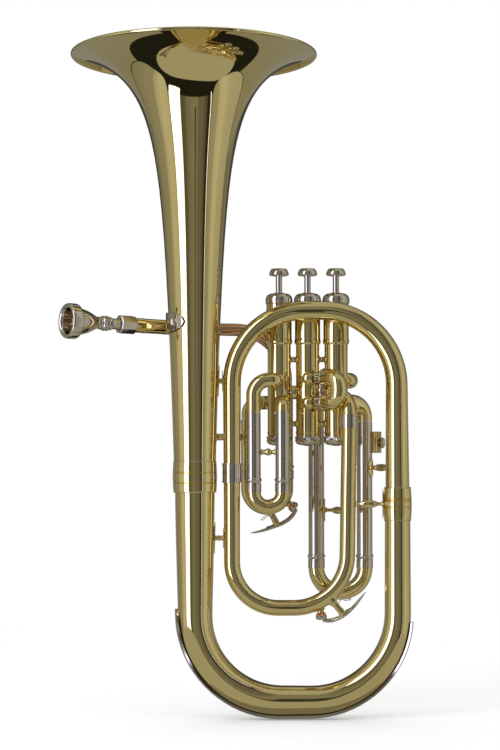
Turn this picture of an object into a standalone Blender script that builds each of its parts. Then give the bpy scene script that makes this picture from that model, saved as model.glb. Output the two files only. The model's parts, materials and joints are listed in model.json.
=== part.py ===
"""Alto horn: a tall upright brass horn with three piston valves, four slides and two water keys.

Sizes are in millimetres. The main wrap lies in the plane Y = 0, X runs to the right and Z up. Heights are
measured from the lowest point of the bow guard, and widths from the bell's axis, which stands BELL_X from
the origin. The player's side is +Y.
"""

from math import ceil, cos, pi, radians, sin, sqrt, tan

import bmesh
import bpy
from mathutils import Matrix, Vector

MM = 0.001
GAP = 0.3

# How far a cutter for a solder joint stands off the tube that it leaves room for
ROOM = 0.45

# Where the bell's axis stands, so that the origin is under the middle of the whole horn
BELL_X = -34.8

# Bell
BELL_H = 548.2
BELL_RIM_R = 101.3
BELL_FOOT_Z = 200.3
BELL_STEM_R = 11.1
BELL_STEM_TAPER = 0.0203
BELL_FLARE_REACH = 60.0
BELL_FLARE_POWER = 1.9
BELL_LIP_SPREAD = 19.5
BELL_LIP_REACH = 5.0
BELL_WALL = 0.8
BEAD_R = 1.5

# Main wrap, bell bow to valves
RIGHT_X = 167.0
BOTTOM_Z = 15.0
BOTTOM_LEFT_BEND = 73.0
BOTTOM_RIGHT_BEND = 68.5
TOP_Z = 336.5
TOP_LEFT_X = 30.8
TOP_RIGHT_X = 166.3
TOP_LEFT_BEND = 60.0
TOP_RIGHT_BEND = 61.0
RIGHT_JOINT_Z = 177.0
LEFT_JOINT_Z = 202.8
INNER_LEFT_X = 30.5
INNER_RIGHT_X = 125.4
INNER_BOTTOM_Z = 91.5
INNER_LEFT_BEND = 39.5
INNER_RIGHT_BEND = 44.0
EXIT_X = 127.4
EXIT_Z = 245.2

# Valves
VALVE_X = (70.0, 93.8, 117.6)
VALVE_Y = 22.0
CASING_R = 9.7
CASING_BORE_R = 8.95
CASING_FOOT_Z = 233.6
CASING_SKIRT_Z = 228.4
CASING_HEAD_Z = 313.2
NECK_TOP_Z = 350.0
CAP_TOP_Z = 353.0
PISTON_R = 8.45
PISTON_FOOT_Z = 250.0
PISTON_TOP_Z = 346.4
STEM_R = 2.7
BUTTON_Z = 367.5
BUTTON_R = 8.3
VALVE_TRAVEL = 14.0
SPRING_TURNS = 5
SPRING_R = 6.2
SPRING_WIRE_R = 0.5

# Valve passages: upper and lower height of the slide ports, and the knuckles between the casings
PORT_HIGH_Z = 279.5
PORT_LOW_Z = 262.0
KNUCKLE_Z = 270.0
KNUCKLE_R = 5.6
PASSAGE_R = 4.2

# Slides: the middle of each leg, and the radii of sleeve, bore, inner leg, bow and collar
SLEEVE_WALL = 0.65
SLIDE_FIT = 0.45

MAIN_LEFT_X = 44.2
MAIN_RIGHT_X = 75.6
MAIN_Y = 40.0
MAIN_BEND_Z = 189.6
MAIN_R = 6.4

FIRST_LEFT_X = 48.4
FIRST_RIGHT_X = 72.4
FIRST_BEND_Z = 186.6
FIRST_R = 5.95

SECOND_TURN = radians(39)
SECOND_HIGH_Z = 281.4
SECOND_LOW_Z = 261.0
SECOND_SLEEVE = 21.0
SECOND_ENTRY = 11.0
SECOND_REACH = 38.6
SECOND_R = 6.3

THIRD_LEFT_X = 101.4
THIRD_RIGHT_X = 142.1
THIRD_Y = 39.2
THIRD_BEND_Z = 122.6
THIRD_R = 6.65

# Mouthpiece and leadpipe
PIPE_Z = 324.2
PIPE_RISE = radians(1)
PIPE_TURN = radians(33)
PIPE_OFFSET = 29.0
PIPE_R = 5.1
PIPE_SLEEVE_R = 6.1
SOCKET_NEAR = 41.0
SOCKET_FAR = 57.0
MOUTH_RIM_AT = 104.0
MOUTH_R = 14.3
MOUTH_LENGTH = 65.0

# Numbers of sides
FINE = 32
ROUND = 16
TUBE = 10
SMALL = 8

for old in list(bpy.data.objects):
    bpy.data.objects.remove(old)

horn = bpy.data.collections.new("alto_horn")
cutters = bpy.data.collections.new("cutters")
bpy.context.scene.collection.children.link(horn)
bpy.context.scene.collection.children.link(cutters)

# Everything hangs on the bell's axis, which is moved to BELL_X once the horn is whole
wrap = bpy.data.objects.new("horn_axis", None)
horn.objects.link(wrap)


def finish(name, colour, roughness, metallic=1.0):
    material = bpy.data.materials.new(name)
    material.use_nodes = True
    shader = material.node_tree.nodes["Principled BSDF"]
    shader.inputs["Base Color"].default_value = (*colour, 1)
    shader.inputs["Roughness"].default_value = roughness
    shader.inputs["Metallic"].default_value = metallic
    return material


BRASS = finish("yellow_brass", (0.78, 0.58, 0.24), 0.14)
ROSE = finish("rose_brass", (0.72, 0.42, 0.20), 0.16)
NICKEL = finish("nickel_silver", (0.66, 0.64, 0.60), 0.16)
STEEL = finish("spring_steel", (0.35, 0.35, 0.36), 0.3)
CORK = finish("cork", (0.50, 0.26, 0.11), 0.85, 0.0)
FELT = finish("felt", (0.62, 0.60, 0.54), 0.95, 0.0)


def at(x, y, z):
    return Vector((x, y, z))


def place(obj, material, hold=None):
    """Names the material, hangs the piece on the horn's axis and moves its origin to hold."""
    obj.data.materials.clear()
    obj.data.materials.append(material)
    horn.objects.link(obj)
    obj.parent = wrap
    if hold is not None:
        obj.data.transform(obj.matrix_basis)
        obj.data.transform(Matrix.Translation(-hold * MM))
        obj.matrix_basis = Matrix.Translation(hold * MM)
    return obj


def smooth(mesh, angle=35):
    mesh.shade_smooth()
    mesh.set_sharp_from_angle(angle=radians(angle))


def baked(obj):
    """The shape of a curve, or of a mesh with modifiers, as a plain mesh with its caps welded."""
    horn.objects.link(obj)
    graph = bpy.context.evaluated_depsgraph_get()
    mesh = bpy.data.meshes.new_from_object(obj.evaluated_get(graph))
    shape = bmesh.new()
    shape.from_mesh(mesh)
    bmesh.ops.remove_doubles(shape, verts=shape.verts, dist=0.00001)
    shape.to_mesh(mesh)
    shape.free()
    smooth(mesh)
    name, place_in_world = obj.name, obj.matrix_world.copy()
    bpy.data.objects.remove(obj)
    new = bpy.data.objects.new(name, mesh)
    new.matrix_world = place_in_world
    return new


def turned(name, outline, foot=at(0, 0, 0), along=at(0, 0, 1), steps=ROUND, ring=False):
    """(radius, height) points that run down the outer side, spun by a Screw modifier; a ring is closed."""
    mesh = bpy.data.meshes.new(name)
    edges = [(i, i + 1) for i in range(len(outline) - 1)]
    if ring:
        edges.append((len(outline) - 1, 0))
    mesh.from_pydata([(r * MM, 0, h * MM) for r, h in outline], edges, [])
    obj = bpy.data.objects.new(name, mesh)
    screw = obj.modifiers.new("turn", "SCREW")
    screw.steps = steps
    screw.render_steps = steps
    screw.use_merge_vertices = True
    screw.merge_threshold = 0.00001
    turn = at(0, 0, 1).rotation_difference(along).to_matrix().to_4x4()
    obj.matrix_world = Matrix.Translation(foot * MM) @ turn
    return baked(obj)


def rod(name, foot, tip, radius, steps=SMALL):
    height = (tip - foot).length
    outline = [(0, height), (radius, height), (radius, 0), (0, 0)]
    return turned(name, outline, foot, tip - foot, steps)


def bent(corners, bends, step=radians(18)):
    """Straight runs through the corners, joined by an arc of each bend's radius."""
    points = [corners[0]]
    for before, corner, after, radius in zip(corners, corners[1:], corners[2:], bends):
        way_in = (corner - before).normalized()
        way_out = (after - corner).normalized()
        turn = way_in.angle(way_out)
        start = corner - way_in * radius * tan(turn / 2)
        centre = corner + (way_out - way_in).normalized() * radius / cos(turn / 2)
        axis = way_in.cross(way_out)
        steps = ceil(turn / step)
        for i in range(steps + 1):
            point = centre + Matrix.Rotation(turn * i / steps, 3, axis) @ (start - centre)
            if (point - points[-1]).length > 0.05:
                points.append(point)
    points.append(corners[-1])
    return points


def length(points):
    return sum((b - a).length for a, b in zip(points, points[1:]))


def sized(points, sizes, grow=0.0):
    """Points with a radius each, read from (distance along, radius) pairs, with a point at every pair."""
    marks = [0.0]
    for a, b in zip(points, points[1:]):
        marks.append(marks[-1] + (b - a).length)
    wanted = list(marks)
    for distance, _ in sizes:
        if 0 <= distance <= marks[-1] and min(abs(distance - mark) for mark in wanted) > 0.05:
            wanted.append(distance)
    stations = []
    for distance in sorted(wanted):
        i = max(1, next((k for k, mark in enumerate(marks) if mark >= distance - 1e-6), len(marks) - 1))
        share = (distance - marks[i - 1]) / (marks[i] - marks[i - 1])
        point = points[i - 1].lerp(points[i], share)
        stations.append((point, size_at(distance, sizes) + grow))
    return stations


def size_at(distance, sizes):
    if distance <= sizes[0][0]:
        return sizes[0][1]
    for (a, ra), (b, rb) in zip(sizes, sizes[1:]):
        if distance <= b:
            return ra + (rb - ra) * (distance - a) / (b - a)
    return sizes[-1][1]


def tube(name, points, sizes, sides=TUBE, grow=0.0):
    """A round tube along the points, swelling and narrowing as sizes says."""
    curve = bpy.data.curves.new(name, "CURVE")
    curve.dimensions = "3D"
    curve.bevel_depth = MM
    curve.bevel_resolution = (sides - 4) // 2
    curve.use_fill_caps = True
    stations = sized(points, sizes, grow)
    spline = curve.splines.new("POLY")
    spline.points.add(len(stations) - 1)
    for knot, (point, radius) in zip(spline.points, stations):
        knot.co = (*(point * MM), 1)
        knot.radius = radius
    return baked(bpy.data.objects.new(name, curve))


def box(name, low, high, rounding=0.0):
    """A box between two corners, with its edges rounded."""
    shape = bmesh.new()
    bmesh.ops.create_cube(shape, size=1)
    bmesh.ops.scale(shape, vec=(high - low) * MM, verts=shape.verts)
    bmesh.ops.translate(shape, vec=(low + high) / 2 * MM, verts=shape.verts)
    if rounding:
        edges = shape.edges[:]
        bmesh.ops.bevel(shape, geom=edges, offset=rounding * MM, segments=1, affect="EDGES", profile=0.5)
    mesh = bpy.data.meshes.new(name)
    shape.to_mesh(mesh)
    shape.free()
    return bpy.data.objects.new(name, mesh)


def hidden(tool):
    """A cutter stays in its own collection, out of the renders."""
    if tool.name not in cutters.objects:
        cutters.objects.link(tool)
        tool.parent = wrap
        tool.hide_render = True
        tool.display_type = "WIRE"
    return tool


def shape_by(obj, tool, operation="DIFFERENCE"):
    step = obj.modifiers.new(tool.name, "BOOLEAN")
    step.operation = operation
    step.solver = "EXACT"
    step.object = hidden(tool)
    return obj


def soldered(carrier, brace, *rooms):
    """Cuts the brace to fit each room, so that it seats on what it meets, and joins it to its carrier."""
    for room in rooms:
        shape_by(brace, room)
    return shape_by(carrier, baked(brace), "UNION")


# Braces: short waisted stubs between near tubes, and turned spindles with flanges between far ones
def stub(name, a, b, foot=3.4):
    reach = (b - a).length
    half = reach / 2
    outline = [
        (0, reach), (foot, reach), (foot, half + 2.4), (1.9, half + 0.6),
        (1.9, half - 0.6), (foot, half - 2.4), (foot, 0), (0, 0),
    ]
    return turned(name, outline, a, b - a, SMALL)


def spindle(name, a, b, cut_a, cut_b, ball=0.5):
    """From tube middle to tube middle; the flanges start at cut_a and cut_b from the ends."""
    reach = (b - a).length
    middle = cut_a + (reach - cut_a - cut_b) * ball
    outline = [
        (0, reach), (4.0, reach), (4.0, reach - cut_b - 0.2), (2.2, reach - cut_b - 2.2),
        (1.7, middle + 3.0), (3.0, middle), (1.7, middle - 3.0),
        (2.2, cut_a + 2.2), (4.0, cut_a + 0.2), (4.0, 0), (0, 0),
    ]
    return turned(name, outline, a, b - a, SMALL)


# Bell: a drawn sheet with a formula for its flare, rolled over a wire at the rim
def bell_radius(z):
    flare = BELL_RIM_R - BELL_STEM_R - BELL_STEM_TAPER * BELL_H - BELL_LIP_SPREAD
    below = BELL_H - z
    spread = flare * (BELL_FLARE_REACH / (below + BELL_FLARE_REACH)) ** BELL_FLARE_POWER
    lip = BELL_LIP_SPREAD * BELL_LIP_REACH / (below + BELL_LIP_REACH)
    return BELL_STEM_R + BELL_STEM_TAPER * z + spread + lip


def bell_outline():
    """Down the outside from the bead, across the foot, and up the inside to the rim's flat top."""
    bead_x = BELL_RIM_R - BEAD_R
    bead_z = BELL_H - BEAD_R
    outline = [(BELL_RIM_R - 2.6, BELL_H), (BELL_RIM_R - 0.8, BELL_H), (BELL_RIM_R, bead_z)]
    outline += [(bead_x + 0.7, bead_z - 1.3), (bead_x - 0.9, bead_z - 1.2), (bead_x - 1.9, bead_z + 0.4)]
    heights = [547, 545.5, 543.5, 540.5, 536, 529, 520, 508, 494, 474, 445, 400, 340, 270, BELL_FOOT_Z]
    outline += [(bell_radius(z), z) for z in heights]
    # The wall is measured square to the sheet, which lies nearly flat at the rim
    for z in reversed(heights):
        spread = (bell_radius(z + 0.1) - bell_radius(z - 0.1)) / 0.2
        square = BELL_WALL / sqrt(1 + spread**2)
        outline.append((bell_radius(z) - square, z + square * spread if z > BELL_FOOT_Z else z))
    return outline


place(turned("bell", bell_outline(), steps=FINE, ring=True), BRASS)

bell_ferrule_outline = [
    (18.1, 212.4), (18.1, 210.4), (18.3, 209.2), (18.4, 199.8), (18.1, 190.4),
    (17.85, 189.2), (17.85, 187.0), (17.3, 187.0), (17.3, 200.3), (17.7, 212.4),
]
place(turned("bell_ferrule", bell_ferrule_outline, steps=FINE, ring=True), BRASS)


# Main wrap: each bow is one tapered tube, bent in the plane Y = 0
bottom_route = bent(
    [
        at(0, 0, BELL_FOOT_Z - 2 * GAP), at(0, 0, BOTTOM_Z),
        at(RIGHT_X, 0, BOTTOM_Z), at(RIGHT_X, 0, RIGHT_JOINT_Z - GAP),
    ],
    [BOTTOM_LEFT_BEND, BOTTOM_RIGHT_BEND], radians(11.3),
)
bottom_sizes = [(0, 16.6), (46, 15.9), (106, 14.4), (236, 12.4), (362, 10.75), (length(bottom_route), 10.45)]
place(tube("bottom_bow", bottom_route, bottom_sizes, ROUND), BRASS)

top_route = bent(
    [
        at(RIGHT_X, 0, RIGHT_JOINT_Z + GAP), at(TOP_RIGHT_X, 0, TOP_Z),
        at(TOP_LEFT_X, 0, TOP_Z), at(TOP_LEFT_X - 0.2, 0, LEFT_JOINT_Z + GAP),
    ],
    [TOP_RIGHT_BEND, TOP_LEFT_BEND], radians(13),
)
top_sizes = [(0, 10.0), (90, 9.1), (200, 7.7), (310, 7.4), (length(top_route), 6.9)]
top_bow = tube("top_bow", top_route, top_sizes, 12)

inner_route = bent(
    [
        at(INNER_LEFT_X, 0, LEFT_JOINT_Z - GAP), at(INNER_LEFT_X, 0, INNER_BOTTOM_Z),
        at(INNER_RIGHT_X - 0.6, 0, INNER_BOTTOM_Z), at(EXIT_X, 0, EXIT_Z - GAP),
    ],
    [INNER_LEFT_BEND, INNER_RIGHT_BEND], radians(15),
)
inner_sizes = [(0, 6.85), (40, 6.65), (200, 6.5), (length(inner_route), 6.3)]
inner_bow = tube("inner_bow", inner_route, inner_sizes)
top_room = tube("top_bow_room", top_route, top_sizes, 12, grow=ROOM)
inner_room = tube("inner_bow_room", inner_route, inner_sizes, TUBE, grow=ROOM)

# Stubs from the two left legs to the bell, and the spindle from the inner leg to the right ferrule
bell_room = turned(
    "bell_room",
    [
        (0, 300), (bell_radius(300) + ROOM, 300), (bell_radius(214) + ROOM, 214), (18.9, 213), (18.9, 187),
        (16.9, 186), (16.2, 150), (14.9, 95), (0, 95),
    ],
    steps=FINE,
)
for carrier, z in ((top_bow, 278.6), (top_bow, 232.4), (inner_bow, 149.2)):
    brace = stub(f"bell_stub_{z:.0f}", at(8, 0, z), at(INNER_LEFT_X - 3, 0, z))
    soldered(carrier, brace, bell_room)
ferrule_room = rod("right_ferrule_room", at(RIGHT_X, 0, 164.5), at(RIGHT_X, 0, 189.5), 12.05, ROUND)
brace = spindle("right_spindle", at(126.3, 0, RIGHT_JOINT_Z), at(RIGHT_X, 0, RIGHT_JOINT_Z), 6.9, 12.1, 0.25)
soldered(inner_bow, brace, ferrule_room)
place(top_bow, BRASS)


def ferrule(name, centre, bore, radius, high, low, lip, material, steps=TUBE):
    """A short ring over a joint of two tubes, with a raised band in the middle and a lip at each end."""
    outline = [
        (radius, high), (radius, high - lip), (radius + 0.4, high - 1.5 * lip),
        (radius + 0.4, low + 1.5 * lip), (radius, low + lip), (radius, low), (bore, low), (bore, high),
    ]
    return place(turned(name, outline, centre, steps=steps, ring=True), material)


ferrule("right_ferrule", at(RIGHT_X, 0, 0), 10.8, 11.3, 190.2, 163.8, 6.0, BRASS, ROUND)
ferrule("left_ferrule", at(TOP_LEFT_X - 0.2, 0, 0), 7.3, 7.8, 210.8, 194.8, 2.0, NICKEL)
ferrule("exit_ferrule", at(EXIT_X, 0, 0), 6.75, 7.15, 250.8, 239.4, 1.4, NICKEL)

# Bow guard: a nickel channel that wraps the outer side of the bottom bow
GUARD_LEFT_Z = 91.0
GUARD_RIGHT_Z = 80.5
GUARD_HALF_WIDTH = 8.5
GUARD_GAP = 0.5
GUARD_THICK = 2.0
GUARD_INNER_EDGE = 7.0


def bow_guard():
    route = bent(
        [
            at(0, 0, GUARD_LEFT_Z + 3), at(0, 0, BOTTOM_Z),
            at(RIGHT_X, 0, BOTTOM_Z), at(RIGHT_X, 0, GUARD_RIGHT_Z + 12),
        ],
        [BOTTOM_LEFT_BEND, BOTTOM_RIGHT_BEND], radians(11.3),
    )
    start = BELL_FOOT_Z - 2 * GAP - (GUARD_LEFT_Z + 3)
    sizes = [(distance - start, radius) for distance, radius in bottom_sizes]
    skin = tube("bow_guard", route, sizes, ROUND, grow=GUARD_GAP + GUARD_THICK)
    shape_by(skin, tube("bow_guard_bore", bottom_route, bottom_sizes, ROUND, grow=GUARD_GAP))
    # The outer side only: what is left outside a plug as wide as the wrap and short of its bottom
    edge = GUARD_INNER_EDGE
    plug = box("bow_guard_inside", at(-edge, -30, BOTTOM_Z - edge), at(RIGHT_X + edge, 30, 120))
    shape = bmesh.new()
    shape.from_mesh(plug.data)
    for x, bend in ((-edge, BOTTOM_LEFT_BEND), (RIGHT_X + edge, BOTTOM_RIGHT_BEND)):
        corner = at(x, 0, BOTTOM_Z - edge) * MM
        low_edges = [
            crossing for crossing in shape.edges
            if all(abs(vert.co.x - corner.x) + abs(vert.co.z - corner.z) < GAP * MM for vert in crossing.verts)
        ]
        bmesh.ops.bevel(shape, geom=low_edges, offset=(bend + edge) * MM, segments=9, affect="EDGES", profile=0.5)
    shape.to_mesh(plug.data)
    shape.free()
    shape_by(skin, plug)
    for side in (-1, 1):
        low = at(-60, min(side * GUARD_HALF_WIDTH, side * 40), -20)
        high = at(RIGHT_X + 60, max(side * GUARD_HALF_WIDTH, side * 40), 130)
        shape_by(skin, box(f"bow_guard_side_{side + 2}", low, high))
    for name, x, z in (("left", 0, GUARD_LEFT_Z), ("right", RIGHT_X, GUARD_RIGHT_Z)):
        shape_by(skin, box(f"bow_guard_{name}_end", at(x - 60, -30, z), at(x + 60, 30, 140)))
    return place(skin, NICKEL)


bow_guard()


# Valves: three bottom-sprung pistons in tubes, with a cap above and below
def valve_y(x, z):
    return at(x, VALVE_Y, z)


casing_outline = [
    (9.9, NECK_TOP_Z), (9.9, 343.4), (10.55, 343.0), (10.55, CASING_HEAD_Z), (11.0, CASING_HEAD_Z - 0.4),
    (11.0, CASING_HEAD_Z - 2.4), (CASING_R, CASING_HEAD_Z - 3.0), (CASING_R, CASING_FOOT_Z + 0.4),
    (9.5, CASING_FOOT_Z), (9.5, CASING_SKIRT_Z), (CASING_BORE_R, CASING_SKIRT_Z), (CASING_BORE_R, NECK_TOP_Z),
]
top_cap_outline = [
    (3.2, CAP_TOP_Z), (6.5, CAP_TOP_Z - 0.2), (9.6, CAP_TOP_Z - 1.0), (11.4, CAP_TOP_Z - 4.0),
    (11.4, 343.8), (10.3, 343.8), (10.3, NECK_TOP_Z + GAP), (3.2, NECK_TOP_Z + GAP),
]
bottom_cap_outline = [
    (0, 226.9), (8.8, 227.4), (9.85, 228.1), (9.9, CASING_FOOT_Z - GAP), (10.7, CASING_FOOT_Z - 0.9),
    (10.7, 229.0), (9.2, 226.6), (0, 225.2),
]
button_outline = [
    (0, BUTTON_Z + 6.2), (5.6, BUTTON_Z + 6.0), (7.2, BUTTON_Z + 3.9), (BUTTON_R, BUTTON_Z + 3.3),
    (BUTTON_R, BUTTON_Z + 1.5), (6.6, BUTTON_Z + 0.9), (3.6, BUTTON_Z), (0, BUTTON_Z),
]
felt_outline = [
    (6.8, NECK_TOP_Z - 0.2), (6.8, PISTON_TOP_Z + GAP), (3.1, PISTON_TOP_Z + GAP), (3.1, NECK_TOP_Z - 0.2),
]


def valve_spring(x):
    """One unbroken coil between the bottom cap and the piston."""
    low = CASING_SKIRT_Z + 1
    high = PISTON_FOOT_Z - 1.4
    per_turn = 6
    steps = SPRING_TURNS * per_turn
    points = []
    for i in range(steps + 1):
        angle = 2 * pi * i / per_turn
        height = low + (high - low) * i / steps
        points.append(at(x + SPRING_R * cos(angle), VALVE_Y + SPRING_R * sin(angle), height))
    return points


casing_clearance = []
for number, x in enumerate(VALVE_X, 1):
    room = rod(f"casing_room_{number}", valve_y(x, 200), valve_y(x, 304), CASING_R + GAP + 0.1, ROUND)
    casing_clearance.append(room)

for number, x in enumerate(VALVE_X, 1):
    foot = at(x, VALVE_Y, 0)
    casing = turned(f"valve_casing_{number}", casing_outline, foot, ring=True)
    if number < len(VALVE_X):
        # The knuckle that carries the bore to the next casing, and the two stubs that stay it
        far = VALVE_X[number] - 6
        bore = rod(f"casing_bore_{number}", valve_y(x, 200), valve_y(x, 304), CASING_BORE_R + 0.35, ROUND)
        ends = valve_y(x + 6, KNUCKLE_Z), valve_y(far, KNUCKLE_Z)
        knuckle = rod(f"knuckle_{number}", *ends, KNUCKLE_R, TUBE)
        soldered(casing, knuckle, bore, casing_clearance[number])
        for z in (297.4, 243.8):
            brace = stub(f"stub_{number}_{z:.0f}", valve_y(x + 6, z), valve_y(far, z))
            soldered(casing, brace, bore, casing_clearance[number])
    place(casing, BRASS)
    place(turned(f"top_cap_{number}", top_cap_outline, foot, ring=True), NICKEL)
    place(turned(f"bottom_cap_{number}", bottom_cap_outline, foot), NICKEL)
    axis = valve_y(x, PISTON_TOP_Z)
    piston = rod(f"piston_{number}", valve_y(x, PISTON_FOOT_Z), axis, PISTON_R, TUBE)
    # Each valve passage goes across the piston, one above the other
    for level, turn in ((PORT_HIGH_Z + VALVE_TRAVEL, 0.4), (PORT_LOW_Z + VALVE_TRAVEL, 1.4)):
        across = at(cos(turn), sin(turn), 0) * (PISTON_R + 5)
        middle = valve_y(x, level)
        shape_by(piston, rod(f"passage_{number}_{level:.0f}", middle - across, middle + across, PASSAGE_R))
    place(piston, NICKEL)
    stem = rod(f"valve_stem_{number}", valve_y(x, PISTON_TOP_Z + GAP), valve_y(x, BUTTON_Z - GAP), STEM_R)
    place(stem, NICKEL, axis)
    place(turned(f"finger_button_{number}", button_outline, foot, steps=14), NICKEL, axis)
    place(turned(f"valve_felt_{number}", felt_outline, foot, ring=True, steps=SMALL), FELT, axis)
    place(tube(f"valve_spring_{number}", valve_spring(x), [(0, SPRING_WIRE_R)], 4), STEEL)

# Exit elbow: from the third valve forward and down into the inner bow
elbow_route = bent([at(EXIT_X, 0, EXIT_Z + GAP), at(EXIT_X, 0, 265.6), at(VALVE_X[2], 20, 265.6)], [13.5])
exit_elbow = tube("exit_elbow", elbow_route, [(0, 6.3), (40, 6.1)])
shape_by(exit_elbow, casing_clearance[2])
place(exit_elbow, BRASS)


# Slides: a sleeve pair that is soldered in place, and a bow that slides out of it
def sleeve(name, head, foot, radius):
    """An open outer tube with a ring at its mouth; head and foot are the two ends."""
    bore = radius - SLEEVE_WALL
    reach = (foot - head).length
    outline = [
        (radius, reach), (radius, 3.2), (radius + 0.8, 2.8), (radius + 0.8, 0.5), (radius + 0.3, 0),
        (bore, 0), (bore, reach),
    ]
    return turned(name, outline, foot, head - foot, TUBE, ring=True)


def slide_bow(name, first_top, second_top, first_bend, second_bend, radius, leg, material, hold, collar=8.0):
    """Two thin inner legs, a collar on each, and the bow between them, as one tube."""
    half = (second_bend - first_bend).length / 2
    way = (first_bend - first_top).normalized()
    route = bent([first_top, first_bend + way * half, second_bend + way * half, second_top], [half, half])
    total = length(route)
    inner = radius - SLEEVE_WALL - SLIDE_FIT
    band = radius + 0.45
    sizes = [(0, inner), (leg, inner), (leg + 0.1, band), (leg + collar, band), (leg + collar + 0.4, radius)]
    sizes += [(total - distance, r) for distance, r in reversed(sizes)]
    return place(tube(name, route, sizes, TUBE), material, hold)


def leg_core(name, x, y, radius):
    """Fills a sleeve to the middle of its wall, so that a brace cut by it doesn't reach into the bore."""
    return rod(name, at(x, y, 100), at(x, y, 300), radius - SLEEVE_WALL / 2, TUBE)


MAIN_HEAD_LEFT_Z = 248.0
MAIN_HEAD_RIGHT_Z = 276.5
MAIN_MOUTH_Z = 206.0
MAIN_LEG_TOP_Z = 244.0


def main_left(z):
    return at(MAIN_LEFT_X, MAIN_Y, z)


def main_right(z):
    return at(MAIN_RIGHT_X, MAIN_Y, z)


def third_left(z):
    return at(THIRD_LEFT_X, THIRD_Y, z)


def third_right(z):
    return at(THIRD_RIGHT_X, THIRD_Y, z)


main_cores = (
    leg_core("main_left_core", MAIN_LEFT_X, MAIN_Y, MAIN_R),
    leg_core("main_right_core", MAIN_RIGHT_X, MAIN_Y, MAIN_R),
)
third_left_room = rod("third_left_room", third_left(160), third_left(240), THIRD_R + ROOM, TUBE)
main_sleeves = sleeve("main_slide_sleeves", main_left(MAIN_HEAD_LEFT_Z), main_left(MAIN_MOUTH_Z), MAIN_R)
far_sleeve = sleeve("main_right_sleeve", main_right(MAIN_HEAD_RIGHT_Z), main_right(MAIN_MOUTH_Z), MAIN_R)
shape_by(main_sleeves, far_sleeve, "UNION")
pair_brace = spindle("main_brace", main_left(226), main_right(226), 7.0, 7.0)
third_brace = spindle("main_third_brace", main_right(223), third_left(223), 7.0, 7.2)
wrap_brace = spindle("main_left_brace", at(TOP_LEFT_X, 0, 238.4), main_left(238.4), 8.0, 7.0)
soldered(main_sleeves, pair_brace, *main_cores)
soldered(main_sleeves, third_brace, *main_cores, third_left_room)
soldered(main_sleeves, wrap_brace, *main_cores, top_room)
place(main_sleeves, BRASS)
main_slide = slide_bow(
    "main_tuning_slide", main_left(MAIN_LEG_TOP_Z), main_right(MAIN_LEG_TOP_Z),
    main_left(MAIN_BEND_Z), main_right(MAIN_BEND_Z),
    MAIN_R, MAIN_LEG_TOP_Z - MAIN_MOUTH_Z + GAP, BRASS, at(59.9, MAIN_Y, MAIN_BEND_Z),
)
main_crook_route = bent(
    [
        main_left(MAIN_HEAD_LEFT_Z + GAP), main_left(PORT_LOW_Z),
        at(59.6, MAIN_Y, PORT_LOW_Z), at(69.0, VALVE_Y + 1.7, PORT_LOW_Z),
    ],
    [9.5, 8.5],
)
main_crook = tube("main_slide_crook", main_crook_route, [(0, 5.8)])
shape_by(main_crook, casing_clearance[0])
place(main_crook, BRASS)

FIRST_HEAD_Z = 252.6
FIRST_MOUTH_Z = 195.0
FIRST_LEG_TOP_Z = 249.0


def first_left(z):
    return at(FIRST_LEFT_X, 0, z)


def first_right(z):
    return at(FIRST_RIGHT_X, 0, z)


first_sleeves = sleeve("first_slide_sleeves", first_left(FIRST_HEAD_Z), first_left(FIRST_MOUTH_Z), FIRST_R)
far_sleeve = sleeve("first_right_sleeve", first_right(FIRST_HEAD_Z), first_right(FIRST_MOUTH_Z), FIRST_R)
shape_by(first_sleeves, far_sleeve, "UNION")
soldered(
    first_sleeves, spindle("first_brace", first_left(220), first_right(220), 6.8, 6.8),
    leg_core("first_left_core", FIRST_LEFT_X, 0, FIRST_R),
    leg_core("first_right_core", FIRST_RIGHT_X, 0, FIRST_R),
)
place(first_sleeves, NICKEL)
slide_bow(
    "first_valve_slide", first_left(FIRST_LEG_TOP_Z), first_right(FIRST_LEG_TOP_Z),
    first_left(FIRST_BEND_Z), first_right(FIRST_BEND_Z),
    FIRST_R, FIRST_LEG_TOP_Z - FIRST_MOUTH_Z + GAP, BRASS, at(60.4, 0, FIRST_BEND_Z),
)
first_high_route = bent(
    [
        first_left(FIRST_HEAD_Z + GAP), first_left(PORT_HIGH_Z),
        at(69.0, 0, PORT_HIGH_Z), at(69.0, 20, PORT_HIGH_Z),
    ],
    [13.0, 7.0],
)
first_low_route = bent(
    [first_right(FIRST_HEAD_Z + GAP), first_right(PORT_LOW_Z), at(71.0, 20, PORT_LOW_Z)], [8.6]
)
for name, route in (("first_crook_high", first_high_route), ("first_crook_low", first_low_route)):
    crook = tube(name, route, [(0, FIRST_R)])
    place(shape_by(crook, casing_clearance[0]), BRASS)

SECOND_WAY = at(sin(SECOND_TURN), -cos(SECOND_TURN), 0)


def second_leg(out, z):
    """A point on the second slide's upper or lower leg, so far out from the valve's axis."""
    return at(VALVE_X[1], VALVE_Y, z) + SECOND_WAY * out


def second_sleeve(name, z):
    return sleeve(name, second_leg(7, z), second_leg(SECOND_SLEEVE, z), SECOND_R)


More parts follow.
